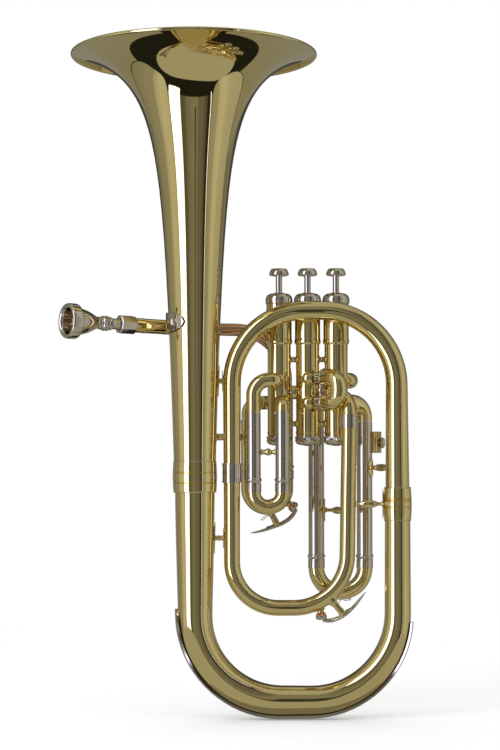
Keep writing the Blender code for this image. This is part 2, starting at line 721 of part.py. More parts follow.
second_sleeves = second_sleeve("second_slide_sleeves", SECOND_HIGH_Z)
shape_by(second_sleeves, second_sleeve("second_low_sleeve", SECOND_LOW_Z), "UNION")
second_stay = rod("second_stay", second_leg(14.5, 266.9), second_leg(14.5, 275.5), 2.2)
shape_by(second_sleeves, second_stay, "UNION")
shape_by(second_sleeves, casing_clearance[1])
place(second_sleeves, NICKEL)
SECOND_BEND = SECOND_REACH - (SECOND_HIGH_Z - SECOND_LOW_Z) / 2
slide_bow(
    "second_valve_slide", second_leg(SECOND_ENTRY, SECOND_HIGH_Z), second_leg(SECOND_ENTRY, SECOND_LOW_Z),
    second_leg(SECOND_BEND, SECOND_HIGH_Z), second_leg(SECOND_BEND, SECOND_LOW_Z),
    SECOND_R, SECOND_SLEEVE + GAP - SECOND_ENTRY, BRASS, second_leg(SECOND_BEND, 271), collar=3.5,
)

THIRD_HEAD_Z = 246.0
THIRD_MOUTH_Z = 130.6
THIRD_LEG_TOP_Z = 240.0
THIRD_PIPE_R = 6.5
THIRD_PORT_Z = 280.0
near_sleeve = sleeve("third_sleeve_left", third_left(THIRD_HEAD_Z), third_left(THIRD_MOUTH_Z), THIRD_R)
far_sleeve = sleeve("third_sleeve_right", third_right(THIRD_HEAD_Z), third_right(THIRD_MOUTH_Z), THIRD_R)
soldered(
    near_sleeve, spindle("third_left_brace", third_left(171.5), at(126.2, 0, 171.5), 7.5, 6.9),
    leg_core("third_left_core", THIRD_LEFT_X, THIRD_Y, THIRD_R), inner_room,
)
soldered(
    far_sleeve, spindle("third_right_brace", third_right(207), at(RIGHT_X, 0, 207), 7.5, 10.2),
    leg_core("third_right_core", THIRD_RIGHT_X, THIRD_Y, THIRD_R), top_room,
)
place(near_sleeve, NICKEL)
place(far_sleeve, NICKEL)
slide_bow(
    "third_valve_slide", third_left(THIRD_LEG_TOP_Z), third_right(THIRD_LEG_TOP_Z),
    third_left(THIRD_BEND_Z), third_right(THIRD_BEND_Z),
    THIRD_R, THIRD_LEG_TOP_Z - THIRD_MOUTH_Z + GAP, BRASS, at(121.75, THIRD_Y, THIRD_BEND_Z),
)
third_high_route = bent(
    [
        third_left(THIRD_HEAD_Z + GAP), third_left(THIRD_PORT_Z), at(129.8, THIRD_Y, THIRD_PORT_Z),
        at(129.8, VALVE_Y, THIRD_PORT_Z), at(118, VALVE_Y, THIRD_PORT_Z),
    ],
    [13, 8.5, 8.5],
)
third_low_route = bent(
    [third_right(THIRD_HEAD_Z + GAP), third_right(PORT_LOW_Z), at(118.8, VALVE_Y + 1, PORT_LOW_Z)], [13]
)
for name, route in (("third_crook_high", third_high_route), ("third_crook_low", third_low_route)):
    crook = tube(name, route, [(0, THIRD_PIPE_R)])
    place(shape_by(crook, casing_clearance[2]), BRASS)


# Leadpipe and mouthpiece: the line of the receiver passes the bell on the player's side
PIPE_WAY = at(cos(PIPE_TURN) * cos(PIPE_RISE), sin(PIPE_TURN) * cos(PIPE_RISE), -sin(PIPE_RISE))
pipe_touch = at(-sin(PIPE_TURN), cos(PIPE_TURN), 0) * PIPE_OFFSET + at(0, 0, PIPE_Z)


def on_pipe(back):
    """A point on the receiver's line, so far in front of where it touches the bell."""
    return pipe_touch - PIPE_WAY * back


PIPE_SLEEVE_END = 46.0
lead_route = bent(
    [
        on_pipe(SOCKET_NEAR - GAP), on_pipe(-13), main_right(PIPE_Z - 1.5),
        main_right(MAIN_HEAD_RIGHT_Z + GAP),
    ],
    [30, 42],
)
lead_sizes = [
    (0, PIPE_SLEEVE_R), (PIPE_SLEEVE_END, PIPE_SLEEVE_R), (PIPE_SLEEVE_END + 0.5, PIPE_R),
    (length(lead_route), 5.6),
]
place(tube("leadpipe", lead_route, lead_sizes), ROSE)

reach = SOCKET_FAR - SOCKET_NEAR
receiver_outline = [(7.2, reach), (7.7, reach - 1), (7.7, 1), (7.2, 0), (5.2, 0), (5.7, reach)]
place(turned("receiver", receiver_outline, on_pipe(SOCKET_NEAR), -PIPE_WAY, 8, ring=True), NICKEL)

mouth_outline = [
    (12.6, MOUTH_LENGTH), (13.9, 64.6), (MOUTH_R, 63.4), (MOUTH_R, 57.4), (13.4, 55.2), (11.2, 54.2),
    (10.5, 51.0), (9.4, 46.8), (7.5, 42.0), (5.2, 37.6), (4.8, 36.2), (5.9, 34.4),
    (5.9, 31.8), (4.9, 30.2), (5.7, 28.6), (5.7, 26.6), (4.7, 25.0), (4.9, 19.0), (4.5, 2.5),
    (3.4, 2.5), (2.0, 40.0), (4.2, 45.0), (7.6, 51.5), (9.0, 60.0), (10.8, MOUTH_LENGTH),
]
mouth_foot = on_pipe(MOUTH_RIM_AT - MOUTH_LENGTH)
place(turned("mouthpiece", mouth_outline, mouth_foot, -PIPE_WAY, ring=True), NICKEL, mouth_foot)


# Leaf-shaped flange, bent to the bell, that holds the leadpipe
def leadpipe_saddle():
    heights = [PIPE_Z - 14, PIPE_Z, PIPE_Z + 14]
    outline = [(bell_radius(z) + 1.0, z) for z in reversed(heights)]
    outline += [(bell_radius(z) + GAP, z) for z in heights]
    shell = turned("leadpipe_saddle", outline, ring=True, steps=FINE)
    leaf_outline = [(0, 8.0), (4.6, 7.3), (8.2, 5.3), (10.4, 2.5), (11.0, 0)]
    leaf_outline += [(x, -z) for x, z in reversed(leaf_outline[:-1])]
    leaf = turned("saddle_leaf", leaf_outline, steps=12)
    leaf.data.transform(Matrix.Diagonal((0.85, 1.5, 1.2, 1)))
    leaf.data.transform(Matrix.Rotation(radians(62), 4, "Z"))
    leaf.data.transform(Matrix.Translation(at(-19.5, 2.0, PIPE_Z) * MM))
    return place(shape_by(shell, leaf, "INTERSECT"), NICKEL)


leadpipe_saddle()


# Lyre holder: a square socket on the third slide's right sleeve, with its thumb screw
LYRE_LOW_Z = 219.5
LYRE_HIGH_Z = 237.5
LYRE_RIGHT_X = 156.4
SCREW_Z = 228.0
third_right_room = rod("third_right_room", third_right(210), third_right(245), THIRD_R + ROOM, TUBE)
lyre_socket = box("lyre_socket", at(150.2, 36.6, LYRE_LOW_Z - 5), at(155.0, 41.8, LYRE_HIGH_Z + 5))
screw_hole = rod("screw_hole", at(154.0, THIRD_Y, SCREW_Z), at(158.0, THIRD_Y, SCREW_Z), 1.9)
lyre_holder = box("lyre_holder", at(145.0, 34.6, LYRE_LOW_Z), at(LYRE_RIGHT_X, 43.8, LYRE_HIGH_Z), 0.6)
for tool in (third_right_room, lyre_socket, screw_hole):
    shape_by(lyre_holder, tool)
place(lyre_holder, BRASS)
screw_outline = [
    (0, 5.4), (4.4, 5.4), (4.8, 4.6), (4.8, 1.6), (4.2, 0.6), (1.4, 0.6), (1.4, -1.2), (0, -1.2),
]
screw_foot = at(LYRE_RIGHT_X, THIRD_Y, SCREW_Z)
place(turned("lyre_screw", screw_outline, screw_foot, at(1, 0, 0), TUBE), NICKEL, screw_foot)


# Water keys: a nipple and a two-eared saddle on the tube, and a sprung lever with a cork in its cup
def water_key(prefix, carrier, nipple, way, pivot, lever, tube_middle, tube_room):
    """nipple is on the tube's surface, way points out of it, and the lever runs through its corners."""
    out = way.normalized()
    side = at(0, 1, 0)
    spout = turned(f"{prefix}_spout", [(0, 2.0), (3.2, 2.0), (3.6, -1.5), (0, -1.5)], nipple, out, TUBE)
    shape_by(carrier, spout, "UNION")
    up = (tube_middle - pivot).normalized()
    saddle = rod(f"{prefix}_key_saddle", pivot - side * 4.0, pivot + side * 4.0, 0.9)
    for sign in (-1, 1):
        foot = pivot + side * sign * 3.2
        ear = rod(f"{prefix}_ear_{sign + 2}", foot - up * 2.0, foot + up * 16, 1.3, 6)
        shape_by(saddle, ear, "UNION")
    shape_by(saddle, tube_room)
    place(saddle, BRASS)
    cork = turned(f"{prefix}_key_cork", [(0, 5.3), (4.0, 5.3), (4.2, 2.3), (0, 2.3)], nipple, out, TUBE)
    place(cork, CORK, pivot)
    arm_length = length(lever)
    arm_sizes = [(0, 1.5), (arm_length - 8, 1.4), (arm_length, 2.3)]
    arm = tube(f"{prefix}_key_lever", bent(lever, [9] * (len(lever) - 2), radians(24)), arm_sizes, 6)
    cup_outline = [(0, 7.6), (3.4, 7.6), (4.4, 6.8), (4.4, 5.6), (0, 5.6)]
    shape_by(arm, turned(f"{prefix}_cup", cup_outline, nipple, out, TUBE), "UNION")
    shape_by(arm, rod(f"{prefix}_barrel", pivot - side * 1.7, pivot + side * 1.7, 2.4, TUBE), "UNION")
    shape_by(arm, rod(f"{prefix}_pin_room", pivot - side * 6, pivot + side * 6, 1.3, TUBE))
    place(arm, NICKEL, None)


main_bow_half = (MAIN_RIGHT_X - MAIN_LEFT_X) / 2
main_bow_low = MAIN_BEND_Z - main_bow_half
main_bow_middle = at(59.9, MAIN_Y, MAIN_BEND_Z)
main_bow_route = bent(
    [main_left(230), main_left(main_bow_low), main_right(main_bow_low), main_right(230)],
    [main_bow_half, main_bow_half],
)
main_nipple_way = at(cos(radians(-35)), 0, sin(radians(-35)))
water_key(
    "main", main_slide, main_bow_middle + main_nipple_way * 22.0, main_nipple_way, at(67.6, MAIN_Y, 160.6),
    [
        at(84.6, MAIN_Y, 172.3), at(80.5, MAIN_Y, 165.5), at(67.6, MAIN_Y, 160.4),
        at(56.0, MAIN_Y, 159.0), at(45.7, MAIN_Y, 152.4),
    ],
    main_bow_middle + at(0, 0, -8), tube("room_main_bow", main_bow_route, [(0, MAIN_R + 0.45 + GAP)]),
)
water_key(
    "inner", inner_bow, at(103.2, 0, 89.4), at(0.14, 0, -0.99), at(121.0, 0, 87.6),
    [
        at(104.8, 0, 82.0), at(109.5, 0, 80.6), at(118.8, 0, 83.2), at(126.0, 0, 87.4),
        at(133.0, 0, 95.0), at(140.4, 0, 104.6),
    ],
    at(109.7, 0, 101.0), inner_room,
)
place(inner_bow, BRASS)
wrap.location = (BELL_X * MM, 0, 0)
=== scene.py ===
import json
from math import atan2, ceil, cos, degrees, pi, radians, sin, sqrt, tan

import bmesh
import bpy
from mathutils import Matrix, Vector


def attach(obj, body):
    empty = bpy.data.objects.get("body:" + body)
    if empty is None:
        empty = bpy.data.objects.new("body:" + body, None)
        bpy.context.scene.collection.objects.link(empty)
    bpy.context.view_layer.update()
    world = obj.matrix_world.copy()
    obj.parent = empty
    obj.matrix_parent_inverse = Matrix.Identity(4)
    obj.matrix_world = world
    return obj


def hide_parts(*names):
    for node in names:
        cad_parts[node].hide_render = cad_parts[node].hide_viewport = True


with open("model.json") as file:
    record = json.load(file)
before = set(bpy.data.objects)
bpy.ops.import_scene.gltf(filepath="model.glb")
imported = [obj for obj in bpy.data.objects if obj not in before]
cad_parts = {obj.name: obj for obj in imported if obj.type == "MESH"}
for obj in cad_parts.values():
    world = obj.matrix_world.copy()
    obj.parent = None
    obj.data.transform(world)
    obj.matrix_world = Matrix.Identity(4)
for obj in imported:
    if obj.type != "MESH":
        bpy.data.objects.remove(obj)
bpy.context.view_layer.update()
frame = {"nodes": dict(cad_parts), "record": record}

# The photograph's view: a level camera about 1.6 m in front of the horn, with a long lens.
# Its horizon lies below the picture's middle, and the lens shift keeps the upright tubes parallel.
# The horn leans a hair to the left in the photograph, so the camera is rolled by as much.
PHOTO_HEIGHT_PX = 750
HORIZON_PX = 475
MM_PER_PX = 0.8242
VIEW_DISTANCE = 1.62
SENSOR_MM = 36.0
camera_data = bpy.data.cameras.new("photo_view")
camera_data.sensor_fit = "VERTICAL"
camera_data.sensor_height = SENSOR_MM
camera_data.lens = SENSOR_MM * VIEW_DISTANCE * 1000 / (PHOTO_HEIGHT_PX * MM_PER_PX)
camera_data.shift_y = (HORIZON_PX - PHOTO_HEIGHT_PX / 2) / PHOTO_HEIGHT_PX
camera = bpy.data.objects.new("photo_view", camera_data)
camera.location = (0.01065, -VIEW_DISTANCE, 0.2011)
camera.rotation_euler = (radians(90), radians(0.13), 0)
bpy.context.scene.collection.objects.link(camera)
bpy.context.scene.camera = camera
bpy.context.scene.view_settings.view_transform = "Standard"

# The white studio: the camera and the metal see a white room, and a plain white light fills it.
# The floor is white paper on a table, and the horn keeps the light off it where the two touch.
FILL_LIGHT = 0.9
PAPER_WHITE = (0.91, 0.905, 0.88)
PAPER_GLOW = 0.155
world = bpy.data.worlds.new("white_studio")
bpy.context.scene.world = world
world.use_nodes = True
nodes = world.node_tree.nodes
links = world.node_tree.links
ray = nodes.new("ShaderNodeLightPath")
direct = nodes.new("ShaderNodeMath")
direct.operation = "MAXIMUM"
links.new(ray.outputs["Is Camera Ray"], direct.inputs[0])
links.new(ray.outputs["Is Glossy Ray"], direct.inputs[1])
seen = nodes.new("ShaderNodeMath")
seen.operation = "MAXIMUM"
links.new(direct.outputs[0], seen.inputs[0])
links.new(ray.outputs["Is Transmission Ray"], seen.inputs[1])
level = nodes.new("ShaderNodeMapRange")
level.inputs["To Min"].default_value = FILL_LIGHT
level.inputs["To Max"].default_value = 1.0
links.new(seen.outputs[0], level.inputs["Value"])
nodes["Background"].inputs["Color"].default_value = (1, 1, 1, 1)
links.new(level.outputs["Result"], nodes["Background"].inputs["Strength"])

paper = bpy.data.materials.new("table_paper")
paper.use_nodes = True
nodes = paper.node_tree.nodes
links = paper.node_tree.links
ray = nodes.new("ShaderNodeLightPath")
shader = nodes["Principled BSDF"]
shader.inputs["Base Color"].default_value = (*PAPER_WHITE, 1)
glow = nodes.new("ShaderNodeMath")
glow.operation = "MULTIPLY"
glow.inputs[1].default_value = PAPER_GLOW
links.new(ray.outputs["Is Camera Ray"], glow.inputs[0])
links.new(glow.outputs[0], shader.inputs["Emission Strength"])
shader.inputs["Emission Color"].default_value = (1, 1, 1, 1)
shader.inputs["Roughness"].default_value = 0.9
shader.inputs["Specular IOR Level"].default_value = 0.0
shape = bmesh.new()
bmesh.ops.create_grid(shape, x_segments=1, y_segments=1, size=1)
bmesh.ops.scale(shape, vec=(0.8, 0.6, 1), verts=shape.verts)
bmesh.ops.translate(shape, vec=(0.01, 0.1, -0.0004), verts=shape.verts)
mesh = bpy.data.meshes.new("table_floor")
shape.to_mesh(mesh)
shape.free()
mesh.materials.append(paper)
floor = bpy.data.objects.new("table_floor", mesh)
bpy.context.scene.collection.objects.link(floor)
floor.visible_glossy = False


# Two upright soft lamps stand in front, one on each side. The metal shows them as a broad and a thin white line.
# Turns are in degrees from the camera's side, and to the right is more.
def softbox(name, turn, width, low, high, brightness, distance=1.7):
    """An upright soft lamp; brightness is what a mirror shows of it."""
    height = high - low
    data = bpy.data.lights.new(name, "AREA")
    data.shape = "RECTANGLE"
    data.size = width
    data.size_y = height
    data.energy = brightness * pi * width * height
    data.color = (0.86, 0.93, 1.45)
    lamp = bpy.data.objects.new(name, data)
    way = Vector((sin(radians(turn)), -cos(radians(turn)), 0))
    lamp.location = way * distance + Vector((0, 0, (low + high) / 2))
    lamp.rotation_euler = (-way).to_track_quat("-Z", "Y").to_euler()
    lamp.visible_camera = False
    bpy.context.scene.collection.objects.link(lamp)


softbox("left_lamp", -44.5, 0.65, -0.88, 2.1, 2.4, 1.5)
softbox("right_lamp", 40.8, 0.04, -0.88, 2.1, 1.9)

# Grey paper walls stand all round beyond the table, on a dark floor, and a paper ceiling hangs above.
# Only the metal's reflections see them. The pairs give each turn's brightness, as the brass shows it.
WALLS = (
    (-180, 0.07), (-146, 0.06), (-141, 0.18), (-124, 0.25), (-104, 0.30), (-88, 0.42), (-76, 0.56),
    (-50, 0.50), (-46, 0.10), (-24, 0.11), (-16, 0.19), (0, 0.24), (8, 0.24), (13, 0.15), (22, 0.16), (27, 0.11),
    (31, 0.10), (33, 0.03), (40.5, 0.02), (42, 0.33), (57, 0.36), (62, 0.52), (74, 0.57), (84, 0.46), (112, 0.42), (115, 0.17),
    (130, 0.21), (140, 0.20), (145, 0.06), (180, 0.07),
)
ROOM_RADIUS = 1.9
ROOM_FLOOR = -0.9
CEILING = 2.5
CEILING_TONE = 0.45
DARK_FLOOR_TONE = 0.015
PAPER_TINT = (0.98, 1.0, 0.96)
TABLE_TONE = 0.40
BACK_FLOOR_FROM = 1.45
BACK_FLOOR_TONE = 0.27
BACK_WALL_TOP = 0.42


def screen(name, shape, material):
    mesh = bpy.data.meshes.new(name)
    shape.to_mesh(mesh)
    shape.free()
    mesh.materials.append(material)
    obj = bpy.data.objects.new(name, mesh)
    bpy.context.scene.collection.objects.link(obj)
    obj.visible_camera = False
    obj.visible_diffuse = False
    obj.visible_shadow = False
    obj.visible_transmission = False


def glowing(name, tone):
    """A material that shows its tone whatever the light."""
    material = bpy.data.materials.new(name)
    material.use_nodes = True
    shader = material.node_tree.nodes["Principled BSDF"]
    shader.inputs["Base Color"].default_value = (0, 0, 0, 1)
    shader.inputs["Specular IOR Level"].default_value = 0.0
    shader.inputs["Emission Color"].default_value = (*(tone * tint for tint in PAPER_TINT), 1)
    shader.inputs["Emission Strength"].default_value = 1.0
    return material


wall_paper = glowing("wall_paper", 0.3)
nodes = wall_paper.node_tree.nodes
links = wall_paper.node_tree.links
place = nodes.new("ShaderNodeTexCoord")
turns = nodes.new("ShaderNodeTexGradient")
turns.gradient_type = "RADIAL"
links.new(place.outputs["Object"], turns.inputs["Vector"])
tones = nodes.new("ShaderNodeValToRGB")
links.new(turns.outputs["Fac"], tones.inputs["Fac"])
links.new(tones.outputs["Color"], nodes["Principled BSDF"].inputs["Emission Color"])
knots = tones.color_ramp.elements
knots.remove(knots[0])
knots[0].position = 0.0
knots[0].color = (0.42, 0.42, 0.42, 1)
for turn, tone in WALLS:
    knot = knots.new((turn / 360 + 0.25) % 1.0)
    knot.color = (*(tone * tint for tint in PAPER_TINT), 1)
shape = bmesh.new()
foot = shape.verts.new((0, -ROOM_RADIUS, ROOM_FLOOR))
head = shape.verts.new((0, -ROOM_RADIUS, CEILING))
upright = shape.edges.new((foot, head))
bmesh.ops.spin(
    shape, geom=[foot, head, upright], cent=(0, 0, 0), axis=(0, 0, 1), angle=2 * pi, steps=72, use_merge=True
)
screen("paper_walls", shape, wall_paper)
for name, height, tone in (("paper_ceiling", CEILING, CEILING_TONE), ("dark_floor", ROOM_FLOOR, DARK_FLOOR_TONE)):
    shape = bmesh.new()
    bmesh.ops.create_circle(shape, cap_ends=True, segments=72, radius=ROOM_RADIUS)
    bmesh.ops.translate(shape, vec=(0, 0, height), verts=shape.verts)
    screen(name, shape, glowing(name, tone))
shape = bmesh.new()
bmesh.ops.create_circle(shape, cap_ends=True, segments=64, radius=1)
bmesh.ops.scale(shape, vec=(0.415, 0.292, 1), verts=shape.verts)
bmesh.ops.translate(shape, vec=(0.01, -0.134, -0.001), verts=shape.verts)
screen("table_in_metal", shape, glowing("table_in_metal", TABLE_TONE))

# Painted shade: a dark glowing sheet right under the horn's foot, seen only in the metal, stands in for the horn's own
# shade on the table.
shape = bmesh.new()
bmesh.ops.create_circle(shape, cap_ends=True, segments=48, radius=1)
bmesh.ops.scale(shape, vec=(0.1, 0.02, 1), verts=shape.verts)
bmesh.ops.translate(shape, vec=(0.049, 0, -0.0007), verts=shape.verts)
screen("painted_foot_shade", shape, glowing("painted_foot_shade", 0.2))

# Two pale paper panels with rounded feet stand nearer, one on each side, each in a thin dark frame.
def panel(name, first, last, distance, foot, material):
    """A piece of round wall between two turns; its foot rises towards both of its edges."""
    shape = bmesh.new()
    low = shape.verts.new((0, -distance, foot))
    high = shape.verts.new((0, -distance, CEILING))
    upright = shape.edges.new((low, high))
    bmesh.ops.rotate(shape, verts=shape.verts, cent=(0, 0, 0), matrix=Matrix.Rotation(radians(first), 3, "Z"))
    bmesh.ops.spin(
        shape, geom=[low, high, upright], cent=(0, 0, 0), axis=(0, 0, 1), angle=radians(last - first), steps=32
    )
    for vert in shape.verts:
        across = (degrees(atan2(vert.co.x, -vert.co.y)) - (first + last) / 2) / ((last - first) / 2)
        if vert.co.z < 0:
            vert.co.z += 0.8 * (1 - max(0.0, 1 - abs(across) ** 3) ** 0.5)
    screen(name, shape, material)


for side, first, last in (("left", -128, -58.5), ("right", 43, 111)):
    panel(f"{side}_panel", first, last, 1.2, -0.88, wall_paper)
    panel(f"{side}_panel_frame", first - 1.2, last + 1.2, 1.22, -0.92, glowing(f"{side}_panel_frame", 0.03))

# The camera's own stand is a dark line in the middle.
shape = bmesh.new()
bmesh.ops.create_grid(shape, x_segments=1, y_segments=1, size=0.5)
bmesh.ops.scale(shape, vec=(0.085, 1.0, 1), verts=shape.verts)
bmesh.ops.rotate(shape, verts=shape.verts, cent=(0, 0, 0), matrix=Matrix.Rotation(radians(90), 3, "X"))
bmesh.ops.translate(shape, vec=(0, -1.62, 0.1), verts=shape.verts)
bmesh.ops.rotate(shape, verts=shape.verts, cent=(0, 0, 0), matrix=Matrix.Rotation(radians(3.6), 3, "Z"))
screen("camera_stand", shape, glowing("camera_stand", 0.05))

# Behind the table the floor is lit, up to the foot of the walls.
shape = bmesh.new()
near = shape.verts.new((BACK_FLOOR_FROM, 0, ROOM_FLOOR + 0.01))
far = shape.verts.new((ROOM_RADIUS - 0.02, 0, ROOM_FLOOR + 0.01))
top = shape.verts.new((ROOM_RADIUS - 0.02, 0, BACK_WALL_TOP))
edges = [shape.edges.new((near, far)), shape.edges.new((far, top))]
bmesh.ops.spin(shape, geom=[near, far, top] + edges, cent=(0, 0, 0), axis=(0, 0, 1), angle=pi, steps=36)
screen("back_floor", shape, glowing("back_floor", BACK_FLOOR_TONE))


# Bell: a brass sheet, spun on a mandrel to its flare and rolled over a wire at the rim.
# It is polished and clear lacquered. All places are in millimetres from the bell's axis.
MM = 0.001
BELL_AXIS_X = -34.8
BELL_TOP = 548.2
BELL_FOOT = 200.3
BELL_WALL = 0.8
RIM_R = 101.3
BEAD_R = 1.5
STEM_R = 11.1
STEM_TAPER = 0.0203
FLARE_REACH = 60.0
FLARE_POWER = 1.9
LIP_SPREAD = 19.5
LIP_REACH = 5.0


def at(x, y, z):
    return Vector((x + BELL_AXIS_X, y, z)) * MM


def surface_group():
    """The look of buffed metal: slow drifts of tone, fine haze, and the pits and specks that polishing leaves."""
    group = bpy.data.node_groups.new("buffed_metal", "ShaderNodeTree")
    for name, kind in (
        ("Metal", "NodeSocketColor"), ("Toned", "NodeSocketColor"), ("Tone Scale", "NodeSocketFloat"),
        ("Roughness", "NodeSocketFloat"), ("Haze", "NodeSocketFloat"), ("Specks", "NodeSocketFloat"),
    ):
        group.interface.new_socket(name=name, in_out="INPUT", socket_type=kind)
    for name, kind in (("Color", "NodeSocketColor"), ("Roughness", "NodeSocketFloat"), ("Height", "NodeSocketFloat")):
        group.interface.new_socket(name=name, in_out="OUTPUT", socket_type=kind)
    nodes = group.nodes
    links = group.links
    given = nodes.new("NodeGroupInput")
    result = nodes.new("NodeGroupOutput")
    place = nodes.new("ShaderNodeTexCoord")

    def noise(scale, detail, roughness=0.5):
        node = nodes.new("ShaderNodeTexNoise")
        node.inputs["Detail"].default_value = detail
        node.inputs["Roughness"].default_value = roughness
        links.new(place.outputs["Object"], node.inputs["Vector"])
        if scale is None:
            links.new(given.outputs["Tone Scale"], node.inputs["Scale"])
        else:
            node.inputs["Scale"].default_value = scale
        return node.outputs["Fac"]

    def spread(value, low, high, to_low=0.0, to_high=1.0):
        node = nodes.new("ShaderNodeMapRange")
        node.inputs["From Min"].default_value = low
        node.inputs["From Max"].default_value = high
        node.inputs["To Min"].default_value = to_low
        node.inputs["To Max"].default_value = to_high
        links.new(value, node.inputs["Value"])
        return node.outputs["Result"]

    def count(operation, a, b):
        node = nodes.new("ShaderNodeMath")
        node.operation = operation
        for socket, value in zip(node.inputs, (a, b)):
            if isinstance(value, float):
                socket.default_value = value
            else:
                links.new(value, socket)
        return node.outputs[0]

    def mixed(share, a, b):
        node = nodes.new("ShaderNodeMix")
        node.data_type = "RGBA"
        links.new(share, node.inputs["Factor"])
        for socket, value in ((node.inputs[6], a), (node.inputs[7], b)):
            if isinstance(value, tuple):
                socket.default_value = value
            else:
                links.new(value, socket)
        return node.outputs[2]

    drift = spread(noise(None, 3.0), 0.36, 0.66)
    toned = mixed(drift, given.outputs["Metal"], given.outputs["Toned"])
    cells = nodes.new("ShaderNodeTexVoronoi")
    cells.inputs["Scale"].default_value = 260.0
    links.new(place.outputs["Object"], cells.inputs["Vector"])
    speck = spread(cells.outputs["Distance"], 0.05, 0.12, 1.0, 0.0)
    rare = spread(noise(95.0, 1.0), 0.62, 0.66)
    speck = count("MULTIPLY", count("MULTIPLY", speck, rare), given.outputs["Specks"])
    links.new(mixed(speck, toned, (0.16, 0.10, 0.04, 1)), result.inputs["Color"])
    haze = spread(noise(38.0, 5.0, 0.62), 0.35, 0.7)
    roughness = count("ADD", given.outputs["Roughness"], count("MULTIPLY", haze, given.outputs["Haze"]))
    links.new(count("ADD", roughness, count("MULTIPLY", speck, 0.25)), result.inputs["Roughness"])
    links.new(count("SUBTRACT", noise(520.0, 2.0), count("MULTIPLY", speck, 0.6)), result.inputs["Height"])
    return group


buffed = surface_group()


def metal(name, colour, toned, roughness, haze=0.03, specks=0.5, tone_scale=14.0, lacquer=0.0):
    """A buffed metal, bare or under clear lacquer."""
    material = bpy.data.materials.new(name)
    material.use_nodes = True
    nodes = material.node_tree.nodes
    links = material.node_tree.links
    shader = nodes["Principled BSDF"]
    skin = nodes.new("ShaderNodeGroup")
    skin.node_tree = buffed
    skin.inputs["Metal"].default_value = (*colour, 1)
    skin.inputs["Toned"].default_value = (*toned, 1)
    skin.inputs["Tone Scale"].default_value = tone_scale
    skin.inputs["Roughness"].default_value = roughness
    skin.inputs["Haze"].default_value = haze
    skin.inputs["Specks"].default_value = specks
    links.new(skin.outputs["Color"], shader.inputs["Base Color"])
    links.new(skin.outputs["Roughness"], shader.inputs["Roughness"])
    bump = nodes.new("ShaderNodeBump")
    bump.inputs["Strength"].default_value = 0.003
    bump.inputs["Distance"].default_value = 0.00002
    links.new(skin.outputs["Height"], bump.inputs["Height"])
    links.new(bump.outputs["Normal"], shader.inputs["Normal"])
    shader.inputs["Metallic"].default_value = 1.0
    shader.inputs["Coat Weight"].default_value = lacquer
    shader.inputs["Coat Roughness"].default_value = 0.03
    return material


FINISH = {"yellow_brass": metal("yellow_brass", (0.84, 0.68, 0.30), (0.80, 0.63, 0.26), 0.03, 0.02, lacquer=0.25)}


def piece(name, shape, slot, body, *nodes, sharp=32):
    """Makes the object, finishes it in its slot's material and hangs it on its body in place of the CAD nodes."""
    mesh = bpy.data.meshes.new(name)
    shape.to_mesh(mesh)
    shape.free()
    mesh.shade_smooth()
    mesh.set_sharp_from_angle(angle=radians(sharp))
    mesh.materials.append(FINISH[slot])
    obj = bpy.data.objects.new(name, mesh)
    bpy.context.scene.collection.objects.link(obj)
    shading = obj.modifiers.new("even_shading", "WEIGHTED_NORMAL")
    shading.keep_sharp = True
    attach(obj, body)
    if nodes:
        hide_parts(*nodes)
    return obj


def turned(outline, foot, way=Vector((0, 0, 1)), steps=64, rounding=0.0):
    """A lathe profile of (radius, height) points, spun about the line that starts at foot."""
    shape = bmesh.new()
    knots = [shape.verts.new((r * MM, 0, h * MM)) for r, h in outline]
    for pair in zip(knots, knots[1:]):
        shape.edges.new(pair)
    if outline[0][0] > 0:
        shape.edges.new((knots[-1], knots[0]))
    if rounding:
        corners = [v for v in shape.verts if len(v.link_edges) == 2]
        bmesh.ops.bevel(
            shape, geom=corners, offset=rounding * MM, segments=2, affect="VERTICES", profile=0.5, material=-1
        )
    bmesh.ops.spin(
        shape, geom=shape.verts[:] + shape.edges[:], cent=(0, 0, 0), axis=(0, 0, 1), angle=2 * pi, steps=steps,
        use_merge=True,
    )
    bmesh.ops.remove_doubles(shape, verts=shape.verts, dist=1e-6)
    bmesh.ops.recalc_face_normals(shape, faces=shape.faces)
    turn = Vector((0, 0, 1)).rotation_difference(way).to_matrix().to_4x4()
    bmesh.ops.transform(shape, matrix=Matrix.Translation(foot) @ turn, verts=shape.verts)
    return shape


def bell_radius(z):
    below = BELL_TOP - z
    flare = RIM_R - STEM_R - STEM_TAPER * BELL_TOP - LIP_SPREAD
    spread = flare * (FLARE_REACH / (below + FLARE_REACH)) ** FLARE_POWER
    return STEM_R + STEM_TAPER * z + spread + LIP_SPREAD * LIP_REACH / (below + LIP_REACH)


outline = []
for angle in range(90, -201, -15):
    turn = radians(angle)
    outline.append((RIM_R - BEAD_R + BEAD_R * cos(turn), BELL_TOP - BEAD_R + BEAD_R * sin(turn)))
heights = [547.3, 547, 546.6, 546.1, 545.5, 544.8, 544, 543, 541.8, 540.4, 538.8, 537, 534.8, 532.2, 529.2, 525.8]
heights += [522, 517.5, 512.5, 507, 500.5, 493, 484.5, 475, 464, 451, 436, 418, 396, 368, 335, 295, 250, BELL_FOOT]
outline += [(bell_radius(z), z) for z in heights]
for z in reversed(heights):
    spread = (bell_radius(z + 0.05) - bell_radius(z - 0.05)) / 0.1
    square = BELL_WALL / sqrt(1 + spread**2)
    outline.append((bell_radius(z) - square, z + square * spread if z > BELL_FOOT else z))
outline.append((RIM_R - 3.2, BELL_TOP - 0.03))
piece("bell_sheet", turned(outline, at(0, 0, 0), steps=128), "yellow_brass", "horn_body", "bell")

# Bell ring: the turned brass sleeve over the joint of bell and bottom branch.
# Fine lines are cut at its ends and round its middle, and it is soldered on.


